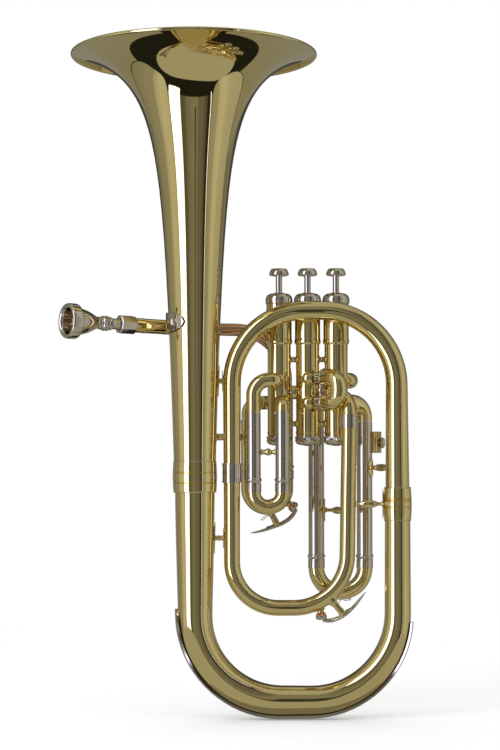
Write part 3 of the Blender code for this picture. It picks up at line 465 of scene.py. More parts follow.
def barrel(low, high, thin, thick, lines, bore, steps=24):
    """The profile of a ring that swells from its ends to its middle, with fine beads cut at some heights."""
    marks = [low + (high - low) * i / steps for i in range(steps + 1)]
    marks = [z for z in marks if min(abs(z - line) for line in lines) > 0.75]
    knots = [(z, 0.0) for z in marks]
    for line in lines:
        knots += [(line - 0.72, 0.0), (line - 0.42, -0.4), (line - 0.16, 0.05), (line + 0.16, 0.05)]
        knots += [(line + 0.42, -0.4), (line + 0.72, 0.0)]
    profile = []
    for z, rise in sorted(knots, reverse=True):
        share = 2 * (z - low) / (high - low) - 1
        profile.append((thin + (thick - thin) * (1 - share * share) + rise, z))
    return profile + bore


outline = barrel(187.4, 212.0, 17.75, 18.3, (194.7, 203.2), [])
outline = [(17.6, 212.4)] + outline + [(17.5, 187.0), (17.3, 187.0), (17.3, 200.3), (17.5, 212.4)]
piece("bell_ring", turned(outline, at(0, 0, 0), steps=96), "yellow_brass", "horn_body", "bell_ferrule", sharp=40)

FINISH["nickel_silver"] = metal(
    "nickel_silver", (0.70, 0.62, 0.50), (0.64, 0.56, 0.44), 0.05, haze=0.03, specks=0.6, lacquer=0.0
)


def joined(*shapes):
    """Several shapes as one mesh."""
    whole = bmesh.new()
    for shape in shapes:
        mesh = bpy.data.meshes.new("part_of_pair")
        shape.to_mesh(mesh)
        shape.free()
        whole.from_mesh(mesh)
        bpy.data.meshes.remove(mesh)
    return whole


def solder_lines(name, x, *lines):
    """Thin round beads of silver solder; each line is a radius and a height."""
    beads = []
    for radius, z in lines:
        bead = [(radius + 0.5 * cos(radians(a)), z + 0.5 * sin(radians(a))) for a in range(360, 0, -30)]
        beads.append(turned(bead, at(x, 0, 0), steps=96))
    piece(name, joined(*beads), "nickel_silver", "horn_body")


solder_lines("bell_ring_solder", 0, (17.45, 212.3), (17.1, 187.2))


# Bottom branch: the widest tube, drawn to a taper and bent through two quarter turns.
# It runs from the bell ring down, under the wrap and up to the right ring.
def bent(corners, bends, step=radians(5)):
    """The middle line of a bent tube, as (point, way) pairs: straight runs with an arc at each corner."""
    line = [(corners[0], (corners[1] - corners[0]).normalized())]
    for before, corner, after, radius in zip(corners, corners[1:], corners[2:], bends):
        way_in = (corner - before).normalized()
        way_out = (after - corner).normalized()
        turn = way_in.angle(way_out)
        start = corner - way_in * radius * MM * tan(turn / 2)
        middle = corner + (way_out - way_in).normalized() * radius * MM / cos(turn / 2)
        axis = way_in.cross(way_out)
        steps = ceil(turn / step)
        for i in range(steps + 1):
            spun = Matrix.Rotation(turn * i / steps, 3, axis)
            point = middle + spun @ (start - middle)
            if (point - line[-1][0]).length > 0.05 * MM:
                line.append((point, spun @ way_in))
    if (corners[-1] - line[-1][0]).length > 0.05 * MM:
        line.append((corners[-1], (corners[-1] - corners[-2]).normalized()))
    return line


def length(line):
    """The line's length in millimetres."""
    return sum((b[0] - a[0]).length for a, b in zip(line, line[1:])) / MM


def stations(line, sizes):
    """(point, way, radius) along the line, with one at each (distance, radius) pair in sizes."""
    marks = [0.0]
    for a, b in zip(line, line[1:]):
        marks.append(marks[-1] + (b[0] - a[0]).length / MM)
    wanted = list(marks)
    for distance, _ in sizes:
        if 0 <= distance <= marks[-1] and min(abs(distance - mark) for mark in wanted) > 0.02:
            wanted.append(distance)
    found = []
    for distance in sorted(wanted):
        i = next((k for k in range(1, len(marks)) if marks[k] >= distance - 1e-6), len(marks) - 1)
        share = (distance - marks[i - 1]) / (marks[i] - marks[i - 1])
        point = line[i - 1][0].lerp(line[i][0], share)
        way = line[i - 1][1].lerp(line[i][1], share).normalized()
        radius = sizes[-1][1]
        if distance <= sizes[0][0]:
            radius = sizes[0][1]
        else:
            for (a, ra), (b, rb) in zip(sizes, sizes[1:]):
                if a <= distance <= b:
                    radius = ra + (rb - ra) * (distance - a) / (b - a)
                    break
        found.append((point, way, radius))
    return found


def sweep(shape, edges, path):
    """Extrudes an outline that lies at the path's first station from each station to the next."""
    for (point, way, radius), (next_point, next_way, next_radius) in zip(path, path[1:]):
        grown = bmesh.ops.extrude_edge_only(shape, edges=edges)["geom"]
        ring = [item for item in grown if isinstance(item, bmesh.types.BMVert)]
        there = set(ring)
        edges = [
            item for item in grown
            if isinstance(item, bmesh.types.BMEdge) and item.verts[0] in there and item.verts[1] in there
        ]
        move = (
            Matrix.Translation(next_point) @ way.rotation_difference(next_way).to_matrix().to_4x4()
            @ Matrix.Scale(next_radius / radius, 4) @ Matrix.Translation(-point)
        )
        bmesh.ops.transform(shape, matrix=move, verts=ring)


def drawn(line, sizes, sides=40):
    """A tube with closed ends, drawn along the line with the radii that sizes gives."""
    path = stations(line, sizes)
    point, way, radius = path[0]
    shape = bmesh.new()
    bmesh.ops.create_circle(shape, cap_ends=False, segments=sides, radius=radius * MM)
    turn = Vector((0, 0, 1)).rotation_difference(way).to_matrix().to_4x4()
    bmesh.ops.transform(shape, matrix=Matrix.Translation(point) @ turn, verts=shape.verts)
    sweep(shape, shape.edges[:], path)
    bmesh.ops.holes_fill(shape, edges=shape.edges, sides=0)
    bmesh.ops.recalc_face_normals(shape, faces=shape.faces)
    return shape


bottom_line = bent([at(0, 0, 199.7), at(0, 0, 15), at(167, 0, 15), at(167, 0, 176.7)], [71, 71.5])
bottom_sizes = [(0, 16.6), (46, 15.9), (106, 14.4), (236, 12.5), (300, 11.9), (362, 10.85), (length(bottom_line), 10.45)]
piece("bottom_branch", drawn(bottom_line, bottom_sizes, 56), "yellow_brass", "horn_body", "bottom_bow")

# Guard: a nickel silver channel on the outer side of the bottom bend, where the horn gets its knocks.
# It is bent to the branch, soldered along its edges, and its two ends are rounded off.
GUARD_LEFT_TOP = 91.0
GUARD_RIGHT_TOP = 85.0
GUARD_HALF_ARC = 26.0
GUARD_WALL = 1.6
GUARD_STAND = 2.37
guard_line = []
for point, way in bottom_line:
    height = point.z / MM
    if height < (GUARD_LEFT_TOP if point.x < at(83, 0, 0).x else GUARD_RIGHT_TOP):
        guard_line.append((point, way))
guard_line.insert(0, (at(0, 0, GUARD_LEFT_TOP), Vector((0, 0, -1))))
skipped = 199.7 - GUARD_LEFT_TOP
guard_sizes = [(distance - skipped, radius + GUARD_STAND) for distance, radius in bottom_sizes]
path = stations(guard_line, guard_sizes)
shape = bmesh.new()
foot, _, radius = path[0]
strip = []
for angle in range(-33, 34, 6):
    turn = radians(angle * GUARD_HALF_ARC / 33)
    strip.append(shape.verts.new(foot + Vector((-cos(turn), sin(turn), 0)) * radius * MM))
sweep(shape, [shape.edges.new(pair) for pair in zip(strip, strip[1:])], path)
for vert in shape.verts:
    for side_x, top in ((0, GUARD_LEFT_TOP), (167, GUARD_RIGHT_TOP)):
        below = top - vert.co.z / MM
        if abs(vert.co.x - at(side_x, 0, 0).x) < 20 * MM and below < 9:
            vert.co.y *= sqrt(max(0.05, 1 - (1 - below / 9) ** 2))
bmesh.ops.recalc_face_normals(shape, faces=shape.faces)
outward = max(shape.faces, key=lambda face: -face.calc_center_median().z)
if outward.normal.z > 0:
    bmesh.ops.reverse_faces(shape, faces=shape.faces)
bmesh.ops.solidify(shape, geom=shape.faces[:], thickness=GUARD_WALL * MM)
bmesh.ops.recalc_face_normals(shape, faces=shape.faces)
piece("bow_guard_channel", shape, "nickel_silver", "horn_body", "bow_guard", sharp=40)


# Right ring: the brass sleeve where bottom and top branch meet, with two lines round its middle.
# It is turned, slipped over both tubes and soldered.
outline = barrel(164.2, 189.8, 11.0, 11.75, (174.3, 179.3, 180.9), [])
outline = [(10.9, 190.2)] + outline + [(10.9, 163.8), (10.75, 163.8), (10.75, 190.2)]
piece("right_ring", turned(outline, at(167, 0, 0), steps=80), "yellow_brass", "horn_body", "right_ferrule", sharp=40)
solder_lines("right_ring_solder", 167, (10.8, 190.3), (11.0, 163.7))

# Top branch: from the right ring up, over the valves and down on the left, with a long even taper.
# Two waisted studs on its left leg are soldered to the bell.
top_line = bent([at(167, 0, 177.3), at(166.3, 0, 336.5), at(30.8, 0, 336.5), at(30.6, 0, 203.1)], [61.5, 60])
top_sizes = [(0, 10.0), (90, 9.1), (200, 7.7), (310, 7.4), (length(top_line), 6.9)]
piece("top_branch", drawn(top_line, top_sizes, 48), "yellow_brass", "horn_body", "top_bow")


def stud(a, b, foot=3.1, waist=2.1, bead=2.6, gap=None):
    """A short stay between two near tubes: a flare at each end, a waist, and a bead in the middle."""
    reach = (b - a).length / MM
    half = reach / 2
    side = (gap or reach) / 2
    rise = [(foot, side), (foot * 0.88, side * 0.9), (foot * 0.7, side * 0.78), (waist * 1.2, side * 0.63)]
    rise += [(waist, side * 0.52), (waist * 1.05, side * 0.44), (bead * 0.86, side * 0.26), (bead, 0.0)]
    outline = [(0, reach), (foot, reach)] + [(r, half + off) for r, off in rise]
    outline += [(r, half - off) for r, off in reversed(rise[:-1])] + [(foot, 0), (0, 0)]
    return turned(outline, a, (b - a).normalized(), steps=32)


def leaf(middle, along, outward, radius, tall, wide, thick=0.7, lying=False):
    """A leaf-shaped plate on a tube: middle is on the tube's axis, and outward points to the plate.
    Its tips point along the tube, or round it where the leaf is lying."""
    side = along.cross(outward).normalized()
    shape = bmesh.new()
    bmesh.ops.create_grid(shape, x_segments=24 if lying else 10, y_segments=10 if lying else 18, size=1)
    for vert in shape.verts:
        u, v = vert.co.x, vert.co.y
        if lying:
            v *= max(0.0, 1 - abs(u) ** 2.4) ** 0.52
        else:
            u *= 1 - abs(v) ** 1.7
        turn = u * wide / 2 / radius
        off = outward * cos(turn) + side * sin(turn)
        vert.co = middle + (off * radius + along * v * tall / 2) * MM
    bmesh.ops.remove_doubles(shape, verts=shape.verts, dist=1e-6)
    bmesh.ops.recalc_face_normals(shape, faces=shape.faces)
    front = max(shape.faces, key=lambda face: face.calc_center_median().dot(outward))
    if front.normal.dot(outward) < 0:
        bmesh.ops.reverse_faces(shape, faces=shape.faces)
    bmesh.ops.solidify(shape, geom=shape.faces[:], thickness=-thick * MM)
    bmesh.ops.recalc_face_normals(shape, faces=shape.faces)
    return shape


def bell_stud(name, z, radius, slope, thick):
    """radius is the wide tube's there, and slope is how fast it grows upwards."""
    bell_side = at(radius - 1.5, 0, z)
    stay = stud(bell_side, at(25.5, 0, z), thick * 1.2, thick * 0.8, thick, (at(24, 0, z) - bell_side).length / MM - 1.5)
    piece(name, stay, "yellow_brass", "horn_body", sharp=60)
    if slope:
        leaning = Vector((slope, 0, 1)).normalized()
        plate = leaf(at(0, 0, z), leaning, Vector((1, 0, 0)), radius + 0.1, 26.0, 9.0, 0.8)
        piece(f"{name}_bell_plate", plate, "yellow_brass", "horn_body", sharp=50)
        small = leaf(at(30.6, 0, z), Vector((0, 0, 1)), Vector((-1, 0, 0)), 7.35 if z > 203 else 6.8, 17.0, 7.0, 0.7)
        piece(f"{name}_tube_plate", small, "yellow_brass", "horn_body", sharp=50)


bell_stud("bell_stud_high", 278.6, bell_radius(278.6), 0.035, 2.4)
bell_stud("bell_stud_middle", 232.4, bell_radius(232.4), 0, 3.1)

# Left and exit rings: short nickel silver sleeves over the joints at the two ends of the inner branch.
# Each has a bead turned at both ends.
for name, node, x, bore, low, high in (
    ("left_ring", "left_ferrule", 30.6, 7.3, 194.8, 210.8), ("exit_ring", "exit_ferrule", 127.4, 6.75, 239.4, 250.8)
):
    wall = bore + 0.55
    outline = [(wall, high), (wall + 0.45, high - 0.2), (wall + 0.5, high - 0.8), (wall + 0.35, high - 1.3)]
    outline += [(wall - 0.1, high - 1.5), (wall - 0.1, high - 1.9), (wall, high - 2.1), (wall, low + 2.1)]
    outline += [(wall - 0.1, low + 1.9), (wall - 0.1, low + 1.5), (wall + 0.35, low + 1.3), (wall + 0.5, low + 0.8)]
    outline += [(wall + 0.45, low + 0.2), (wall, low)]
    ring = turned(outline + [(bore, low), (bore, high)], at(x, 0, 0))
    piece(name, ring, "nickel_silver", "horn_body", node, sharp=40)

# Inner branch: the loop from the left ring down and up again to the third valve.
# A stud holds it to the bell, and its water key's nipple stands under its right bend.
inner_line = bent([at(30.5, 0, 202.5), at(30.5, 0, 91.5), at(124.8, 0, 91.5), at(127.4, 0, 244.9)], [38, 44])
inner_sizes = [(0, 6.85), (40, 6.65), (200, 6.5), (length(inner_line), 6.3)]
piece("inner_branch", drawn(inner_line, inner_sizes), "yellow_brass", "horn_body", "inner_bow")
bell_stud("bell_stud_low", 149.2, 15.8, 0.025, 2.4)


# Braces: slim turned stays between the farther tubes, each with a swelling like a baluster's.
# Their feet are small leaf-shaped plates, bent round the tube and soldered to it.
def spindle(a, b, clear_a, clear_b, swell=0.5, thick=3.0, long=13.0):
    """Between two tube middles; the turning starts and ends so far from them, on the tubes' surfaces."""
    way = (b - a).normalized()
    reach = (b - a).length / MM - clear_a - clear_b
    middle = reach * swell
    half = min(long / 2, middle - 2.4, reach - middle - 2.4)
    outline = [(0, reach), (2.7, reach), (2.5, reach - 0.7), (1.7, reach - 1.4), (1.4, reach - 2.1)]
    outline += [(1.4 + (thick - 1.4) * sin(pi / 2 * (1 - step / 6)) ** 1.1, middle + half * step / 6) for step in range(6, 0, -1)]
    outline.append((thick, middle))
    outline += [(1.4 + (thick - 1.4) * sin(pi / 2 * (1 - step / 6)) ** 1.1, middle - half * step / 6) for step in range(1, 7)]
    outline += [(1.4, 2.1), (1.7, 1.4), (2.5, 0.7), (2.7, 0), (0, 0)]
    return turned(outline, a + way * clear_a * MM, way, steps=32)


def brace(name, a, b, radius_a, radius_b, swell=0.5, leaves="ab", thick=3.0, tall=17.0, long=13.0):
    """A spindle with a leaf at one end or both; the two tubes are upright."""
    way = (b - a).normalized()
    up = Vector((0, 0, 1))
    piece(name, spindle(a, b, radius_a + 0.2, radius_b + 0.2, swell, thick, long), "yellow_brass", "horn_body", sharp=60)
    for end, middle, outward, radius in (("a", a, way, radius_a), ("b", b, -way, radius_b)):
        if end in leaves:
            foot = leaf(middle, up, outward, radius + 0.15, tall, 7.5)
            piece(f"{name}_leaf_{end}", foot, "yellow_brass", "horn_body", sharp=50)


brace("right_brace", at(126.3, 0, 177), at(167, 0, 177), 6.5, 11.6, 0.47, "b", 3.5, 24.0, 17.5)

# Valve casings: three brass tubes with a wider upper part and a soft shoulder between.
# Round knuckles carry the bore from one to the next, and two waisted studs stay each pair.
VALVE_XS = (70.0, 93.8, 117.6)
VALVE_Y = 22.0
casing_outline = [
    (9.9, 350.0), (9.9, 343.9), (10.3, 343.7), (10.55, 343.3), (10.55, 315.5), (10.65, 314.2), (10.95, 313.2),
    (11.05, 312.3), (11.0, 311.4), (10.6, 310.5), (10.0, 310.0), (9.75, 309.2), (9.7, 308.0), (9.7, 237.4),
    (10.05, 237.0), (10.1, 236.4), (10.05, 235.8), (9.7, 235.4), (9.7, 234.0), (9.5, 233.6), (9.5, 228.4),
    (8.95, 228.4), (8.95, 350.0),
]


def cut(shape, cutter_shape):
    """The shape less the cutter."""
    objects = []
    for name, source in (("tube_blank", shape), ("seat_cutter", cutter_shape)):
        mesh = bpy.data.meshes.new(name)
        source.to_mesh(mesh)
        source.free()
        objects.append(bpy.data.objects.new(name, mesh))
        bpy.context.scene.collection.objects.link(objects[-1])
    blank, cutter = objects
    step = blank.modifiers.new("seat", "BOOLEAN")
    step.operation = "DIFFERENCE"
    step.solver = "EXACT"
    step.object = cutter
    graph = bpy.context.evaluated_depsgraph_get()
    fitted = bmesh.new()
    fitted.from_mesh(blank.evaluated_get(graph).to_mesh())
    for obj in objects:
        mesh = obj.data
        bpy.data.objects.remove(obj)
        bpy.data.meshes.remove(mesh)
    return fitted


def seated(shape, middle, radius):
    """Cuts a tube's end so that it sits on an upright cylinder."""
    cylinder = bmesh.new()
    bmesh.ops.create_cone(cylinder, cap_ends=True, segments=96, radius1=radius * MM, radius2=radius * MM, depth=0.16)
    bmesh.ops.translate(cylinder, vec=middle, verts=cylinder.verts)
    return cut(shape, cylinder)


for number, x in enumerate(VALVE_XS, 1):
    casing = turned(casing_outline, at(x, VALVE_Y, 0), steps=72)
    piece(f"valve_tube_{number}", casing, "yellow_brass", "horn_body", f"valve_casing_{number}", sharp=50)
for number, (x, far) in enumerate(zip(VALVE_XS, VALVE_XS[1:]), 1):
    outline = [(0, 5.6), (5.3, 5.6), (5.7, 4.6), (5.85, 2.8), (5.7, 1.0), (5.3, 0), (0, 0)]
    knuckle = turned(outline, at(x + 9.1, VALVE_Y, 270), Vector((1, 0, 0)), steps=48)
    piece(f"knuckle_{number}", knuckle, "yellow_brass", "horn_body")
    for label, z in (("high", 297.4), ("low", 243.8)):
        stay = stud(at(x + 9.0, VALVE_Y, z), at(far - 9.0, VALVE_Y, z), 3.9, 1.9, 2.5, 4.7)
        piece(f"valve_stud_{number}_{label}", stay, "yellow_brass", "horn_body", sharp=60)


# Valve caps: nickel silver, screwed on the casings' ends. The top cap is a smooth dome with a lip,
# and the bottom cap is a shallow bowl with a knurled rim and an air hole's boss.
def knurled(shape, foot, way, low, high, count, depth):
    """Presses every other column of a turned band inwards, for a grip."""
    for vert in shape.verts:
        out = vert.co - foot
        height = out.dot(way)
        flat = out - way * height
        if low < height / MM < high and flat.length > 2 * MM:
            side = way.orthogonal().normalized()
            turn = flat.angle(side) if flat.dot(way.cross(side)) >= 0 else 2 * pi - flat.angle(side)
            if round(turn / (2 * pi) * count) % 2:
                vert.co -= flat.normalized() * depth * MM
    return shape


top_cap_outline = [
    (3.2, 352.7), (3.5, 353.0), (4.6, 353.0), (4.9, 352.6), (6.2, 352.5), (7.8, 352.2), (9.2, 351.5), (10.3, 350.4),
    (11.0, 349.0), (11.3, 347.4), (11.35, 345.9), (11.1, 345.5), (11.1, 345.2), (11.35, 344.9), (11.35, 344.2),
    (11.0, 343.8), (10.3, 343.8), (10.3, 350.3), (3.2, 350.3),
]
bottom_cap_outline = [
    (0, 226.9), (8.8, 227.4), (9.85, 228.1), (9.9, 233.3), (10.4, 233.2), (10.7, 232.8), (10.7, 231.9), (10.45, 231.6),
    (10.45, 229.9), (10.7, 229.6), (10.5, 228.9), (9.6, 227.4), (8.2, 226.4), (5.6, 225.8), (3.4, 225.6), (3.0, 225.2),
    (0, 225.2),
]
for number, x in enumerate(VALVE_XS, 1):
    foot = at(x, VALVE_Y, 0)
    cap = turned(top_cap_outline, foot, steps=72)
    piece(f"dome_cap_{number}", cap, "nickel_silver", "horn_body", f"top_cap_{number}", sharp=42)
    cap = knurled(turned(bottom_cap_outline, foot, steps=96), foot, Vector((0, 0, 1)), 229.7, 233.0, 96, 0.35)
    piece(f"bowl_cap_{number}", cap, "nickel_silver", "horn_body", f"bottom_cap_{number}", sharp=42)

# Stems and finger buttons: a plain nickel silver rod, and a button with a slanting side and a dished top.
# They go down with the piston, which runs in the casing with its felt and rests on a steel spring.
FINISH["spring_steel"] = metal("spring_steel", (0.33, 0.33, 0.34), (0.27, 0.26, 0.26), 0.28, haze=0.1, specks=0.3)
button_outline = [
    (0, 372.6), (3.0, 372.7), (4.4, 373.0), (5.3, 373.3), (6.0, 373.2), (6.6, 372.7), (7.2, 371.8), (7.7, 370.8),
    (8.1, 369.7), (8.25, 368.9), (8.2, 368.2), (7.8, 367.6), (7.0, 367.3), (5.0, 367.2), (3.6, 367.15),
    (3.1, 367.1), (0, 367.1),
]
for number, x in enumerate(VALVE_XS, 1):
    stem = turned([(0, 367.9), (2.7, 367.9), (2.7, 346.7), (0, 346.7)], at(x, VALVE_Y, 0), steps=40)
    piece(f"stem_rod_{number}", stem, "nickel_silver", f"valve_{number}", f"valve_stem_{number}")
    button = turned(button_outline, at(x, VALVE_Y, 0))
    piece(f"button_{number}", button, "nickel_silver", f"valve_{number}", f"finger_button_{number}", sharp=50)

# Exit elbow: the bent brass tube that leads from the third casing down into the exit ring.
# Its upper end is cut to the casing's curve and soldered.
elbow_line = bent([at(127.4, 0, 245.5), at(127.4, 0, 265.6), at(117.6, 20, 265.6)], [13.5])
elbow = seated(drawn(elbow_line, [(0, 6.3), (40, 6.1)], 36), at(VALVE_XS[2], VALVE_Y, 270), 9.6)
piece("exit_elbow_tube", elbow, "yellow_brass", "horn_body", "exit_elbow", sharp=50)

# Crooks: the small bent tubes between the slides' sleeves and the casings.
# Each is bent from one tube, and its end is cut to the casing's curve and soldered.
CROOKS = (
    ("main_crook", "main_slide_crook", 0, 5.8, [9.5, 8.5],
     [(44.2, 40, 248.3), (44.2, 40, 262), (59.6, 40, 262), (69, 23.7, 262)]),
    ("first_crook_upper", "first_crook_high", 0, 5.95, [13, 7],
     [(48.4, 0, 252.9), (48.4, 0, 279.5), (69, 0, 279.5), (69, 20, 279.5)]),
    ("first_crook_lower", "first_crook_low", 0, 5.95, [8.6], [(72.4, 0, 252.9), (72.4, 0, 262), (71, 20, 262)]),
    ("third_crook_upper", "third_crook_high", 2, 6.5, [13, 8.5, 8.5],
     [(101.4, 39.2, 246.3), (101.4, 39.2, 280), (129.8, 39.2, 280), (129.8, 22, 280), (118, 22, 280)]),
    ("third_crook_lower", "third_crook_low", 2, 6.5, [13],
     [(142.1, 39.2, 246.3), (142.1, 39.2, 262), (118.8, 23, 262)]),
)
for name, node, valve, radius, bends, corners in CROOKS:
    line = bent([at(*corner) for corner in corners], bends)
    crook = seated(drawn(line, [(0, radius)], 36), at(VALVE_XS[valve], VALVE_Y, 270), 9.6)
    piece(name, crook, "yellow_brass", "horn_body", node, sharp=50)


# Slide sleeves: the fixed outer tubes, each with a rolled ring at its open mouth.
# The main slide's are brass and the valve slides' are nickel silver, and braces hold each pair.
def sleeve(head, mouth, radius):
    """An open tube from its head down to its mouth, where a ring is soldered on."""
    reach = (head - mouth).length / MM
    bore = radius - 0.65
    outline = [
        (radius, reach), (radius, 3.6), (radius + 0.35, 3.3), (radius + 0.75, 2.7), (radius + 0.85, 2.0),
        (radius + 0.75, 1.3), (radius + 0.35, 0.7), (radius + 0.25, 0.1), (radius, 0), (bore, 0), (bore, reach),
    ]
    return turned(outline, mouth, (head - mouth).normalized(), steps=48)


MAIN_Y = 40.0
THIRD_Y = 39.2
second_way = Vector((sin(radians(39)), -cos(radians(39)), 0))


def second(out, z):
    return at(VALVE_XS[1], VALVE_Y, z) + second_way * out * MM


pair = joined(
    sleeve(at(44.2, MAIN_Y, 248), at(44.2, MAIN_Y, 206), 6.4),
    sleeve(at(75.6, MAIN_Y, 276.5), at(75.6, MAIN_Y, 206), 6.4),
)
piece("main_sleeves", pair, "yellow_brass", "horn_body", "main_slide_sleeves", sharp=50)
pair = joined(
    sleeve(at(48.4, 0, 252.6), at(48.4, 0, 195), 5.95), sleeve(at(72.4, 0, 252.6), at(72.4, 0, 195), 5.95)
)
piece("first_sleeves", pair, "nickel_silver", "horn_body", "first_slide_sleeves", sharp=50)

# The second valve's pair is short: two fixed nickel silver tubes that come out of rounded bosses on the casing.
# Its slide is a wide bow that fits over them.
SECOND_ZS = (281.4, 261.0)
tubes = []
for z in SECOND_ZS:
    outline = [(5.2, 23.2), (4.4, 23.2), (4.4, 0), (4.9, 0), (5.2, 0.3)]
    tubes.append(seated(turned(outline, second(30.2, z), -second_way, steps=48), at(VALVE_XS[1], VALVE_Y, 270), 9.6))
tubes.append(stud(second(16.5, 265.6), second(16.5, 276.8), 2.2, 1.3))
piece("second_tubes", joined(*tubes), "nickel_silver", "horn_body", "second_slide_sleeves", sharp=50)
for label, z in zip(("high", "low"), SECOND_ZS):
    outline = [(0, 0), (2.0, 0.2), (3.7, 1.0), (4.8, 2.3), (5.35, 4.2), (5.45, 6.0), (5.45, 7.6), (5.2, 8.0), (0, 8.0)]
    boss = turned(outline, at(88.9, 12.9, z), Vector((1, 0, 0)), steps=48)
    boss = seated(boss, at(VALVE_XS[1], VALVE_Y, 270), 9.6)
    piece(f"second_boss_{label}", boss, "yellow_brass", "horn_body", sharp=50)
left = sleeve(at(101.4, THIRD_Y, 246), at(101.4, THIRD_Y, 130.6), 6.65)
piece("third_left_sleeve", left, "nickel_silver", "horn_body", "third_sleeve_left", sharp=50)
right = sleeve(at(142.1, THIRD_Y, 246), at(142.1, THIRD_Y, 130.6), 6.65)
piece("third_right_sleeve", right, "nickel_silver", "horn_body", "third_sleeve_right", sharp=50)

brace("main_pair_brace", at(44.2, MAIN_Y, 220.4), at(75.6, MAIN_Y, 220.4), 6.4, 6.4, leaves="", thick=2.2)
brace("main_wrap_brace", at(30.6, 0, 232.6), at(44.2, MAIN_Y, 232.6), 7.3, 6.4, leaves="ab")
brace("first_pair_brace", at(48.4, 0, 220), at(72.4, 0, 220), 5.95, 5.95, leaves="")


def side_brace(name, tube, other, turn, radius, other_radius, swell, thick, long, tall):
    """A brace whose foot is turned from the other tube, towards the front, so that its leaf lies on the side."""
    outward = Vector((cos(radians(turn)), -sin(radians(turn)), 0))
    foot = tube + outward * (radius + 0.3) * MM
    stay = spindle(foot, other, 0.0, other_radius + 0.2, swell, thick, long)
    piece(name, stay, "yellow_brass", "horn_body", sharp=60)
    plate = leaf(tube, Vector((0, 0, 1)), outward, radius + 0.15, tall, 8.0)
    piece(f"{name}_leaf", plate, "yellow_brass", "horn_body", sharp=50)


side_brace("third_left_brace", at(101.4, THIRD_Y, 171.5), at(126.2, 0, 171.5), 12, 6.65, 6.5, 0.66, 3.1, 30.0, 19.0)
side_brace("third_right_brace", at(142.1, THIRD_Y, 207), at(166.9, 0, 207), 38, 6.65, 9.8, 0.5, 3.1, 24.0, 18.0)


# Slide bows: a brass bow with a nickel silver collar on each end, and thin polished legs in the sleeves.
# They are greased and pulled out by hand to tune the horn.
def slide(name, body, node, tops, bends, radius, leg, collar=8.0):
    """tops are the ends of the inner legs, bends the two places where the bow starts to turn."""
    way = (bends[0] - tops[0]).normalized()
    half = (bends[1] - bends[0]).length / 2
    inner = radius - 1.1
    start = leg + collar
    run = (bends[0] - tops[0]).length / MM
    corners = [tops[0] + way * start * MM, bends[0] + way * half, bends[1] + way * half, tops[1] + way * start * MM]
    line = bent(corners, [half / MM, half / MM])
    piece(name, drawn(line, [(0, radius)], 40), "yellow_brass", body, node, sharp=50)
    band = radius + 0.45
    outline = [
        (0, start), (radius, start), (band - 0.1, start - 0.05), (band, start - 0.35), (band, leg + 1.9),
        (band - 0.2, leg + 1.7), (band - 0.2, leg + 1.4), (band, leg + 1.2), (band, leg + 0.3), (band - 0.3, leg),
        (inner, leg), (inner, 0.4), (inner - 0.3, 0), (0, 0),
    ]
    for label, top in zip(("a", "b"), tops):
        piece(f"{name}_leg_{label}", turned(outline, top, way, steps=48), "nickel_silver", body, sharp=42)
    return run


slide("main_bow", "main_slide", "main_tuning_slide", (at(44.2, MAIN_Y, 244), at(75.6, MAIN_Y, 244)),
      (at(44.2, MAIN_Y, 189.6), at(75.6, MAIN_Y, 189.6)), 6.4, 38.3)
slide("first_bow", "first_slide", "first_valve_slide", (at(48.4, 0, 249), at(72.4, 0, 249)),
      (at(48.4, 0, 186.6), at(72.4, 0, 186.6)), 5.95, 54.3)
high, low = SECOND_ZS
line = bent([second(26.2, high), second(39.2, high), second(39.2, low), second(24.3, low)], [10.2, 10.2])
bow = drawn(line, [(0, 7.35), (14, 7.15), (length(line) - 16, 7.1), (length(line) - 6, 6.9), (length(line), 6.9)], 48)
for label, z, edge, plain, long in (("high", high, 7.95, 7.45, 4.9), ("low", low, 7.5, 6.95, 3.1)):
    bow = cut(bow, turned([(0, 11.2), (5.35, 11.2), (5.35, 0), (0, 0)], second(19.4, z), second_way, steps=48))
    outline = [
        (7.2, 0), (edge - 0.15, 0.15), (edge, 0.55), (edge, 1.05), (edge - 0.15, 1.45), (plain, 1.6), (plain, long),
        (5.35, long), (5.35, 0),
    ]
    piece(f"second_bow_band_{label}", turned(outline, second(21.4, z), second_way, steps=64), "nickel_silver",
          "second_slide", sharp=42)
piece("second_bow", bow, "yellow_brass", "second_slide", "second_valve_slide", sharp=50)
slide("third_bow", "third_slide", "third_valve_slide", (at(101.4, THIRD_Y, 240), at(142.1, THIRD_Y, 240)),
      (at(101.4, THIRD_Y, 122.6), at(142.1, THIRD_Y, 122.6)), 6.65, 109.7)

# Leadpipe: a rose brass tube that takes the air from the mouthpiece past the bell to the main slide.
# Its near end lies in a thicker yellow brass sleeve, soldered to the bell through a leaf-shaped plate.
FINISH["rose_brass"] = metal("rose_brass", (0.80, 0.50, 0.29), (0.76, 0.44, 0.24), 0.07, lacquer=0.25)
PIPE_TURN = radians(33)
PIPE_RISE = radians(1)
PIPE_OFFSET = 29.0
PIPE_Z = 324.2
pipe_way = Vector((cos(PIPE_TURN) * cos(PIPE_RISE), sin(PIPE_TURN) * cos(PIPE_RISE), -sin(PIPE_RISE)))


def on_pipe(back):
    """A point on the pipe's straight run, so far in front of where it passes the bell."""
    return at(-PIPE_OFFSET * sin(PIPE_TURN), PIPE_OFFSET * cos(PIPE_TURN), PIPE_Z) - pipe_way * back * MM


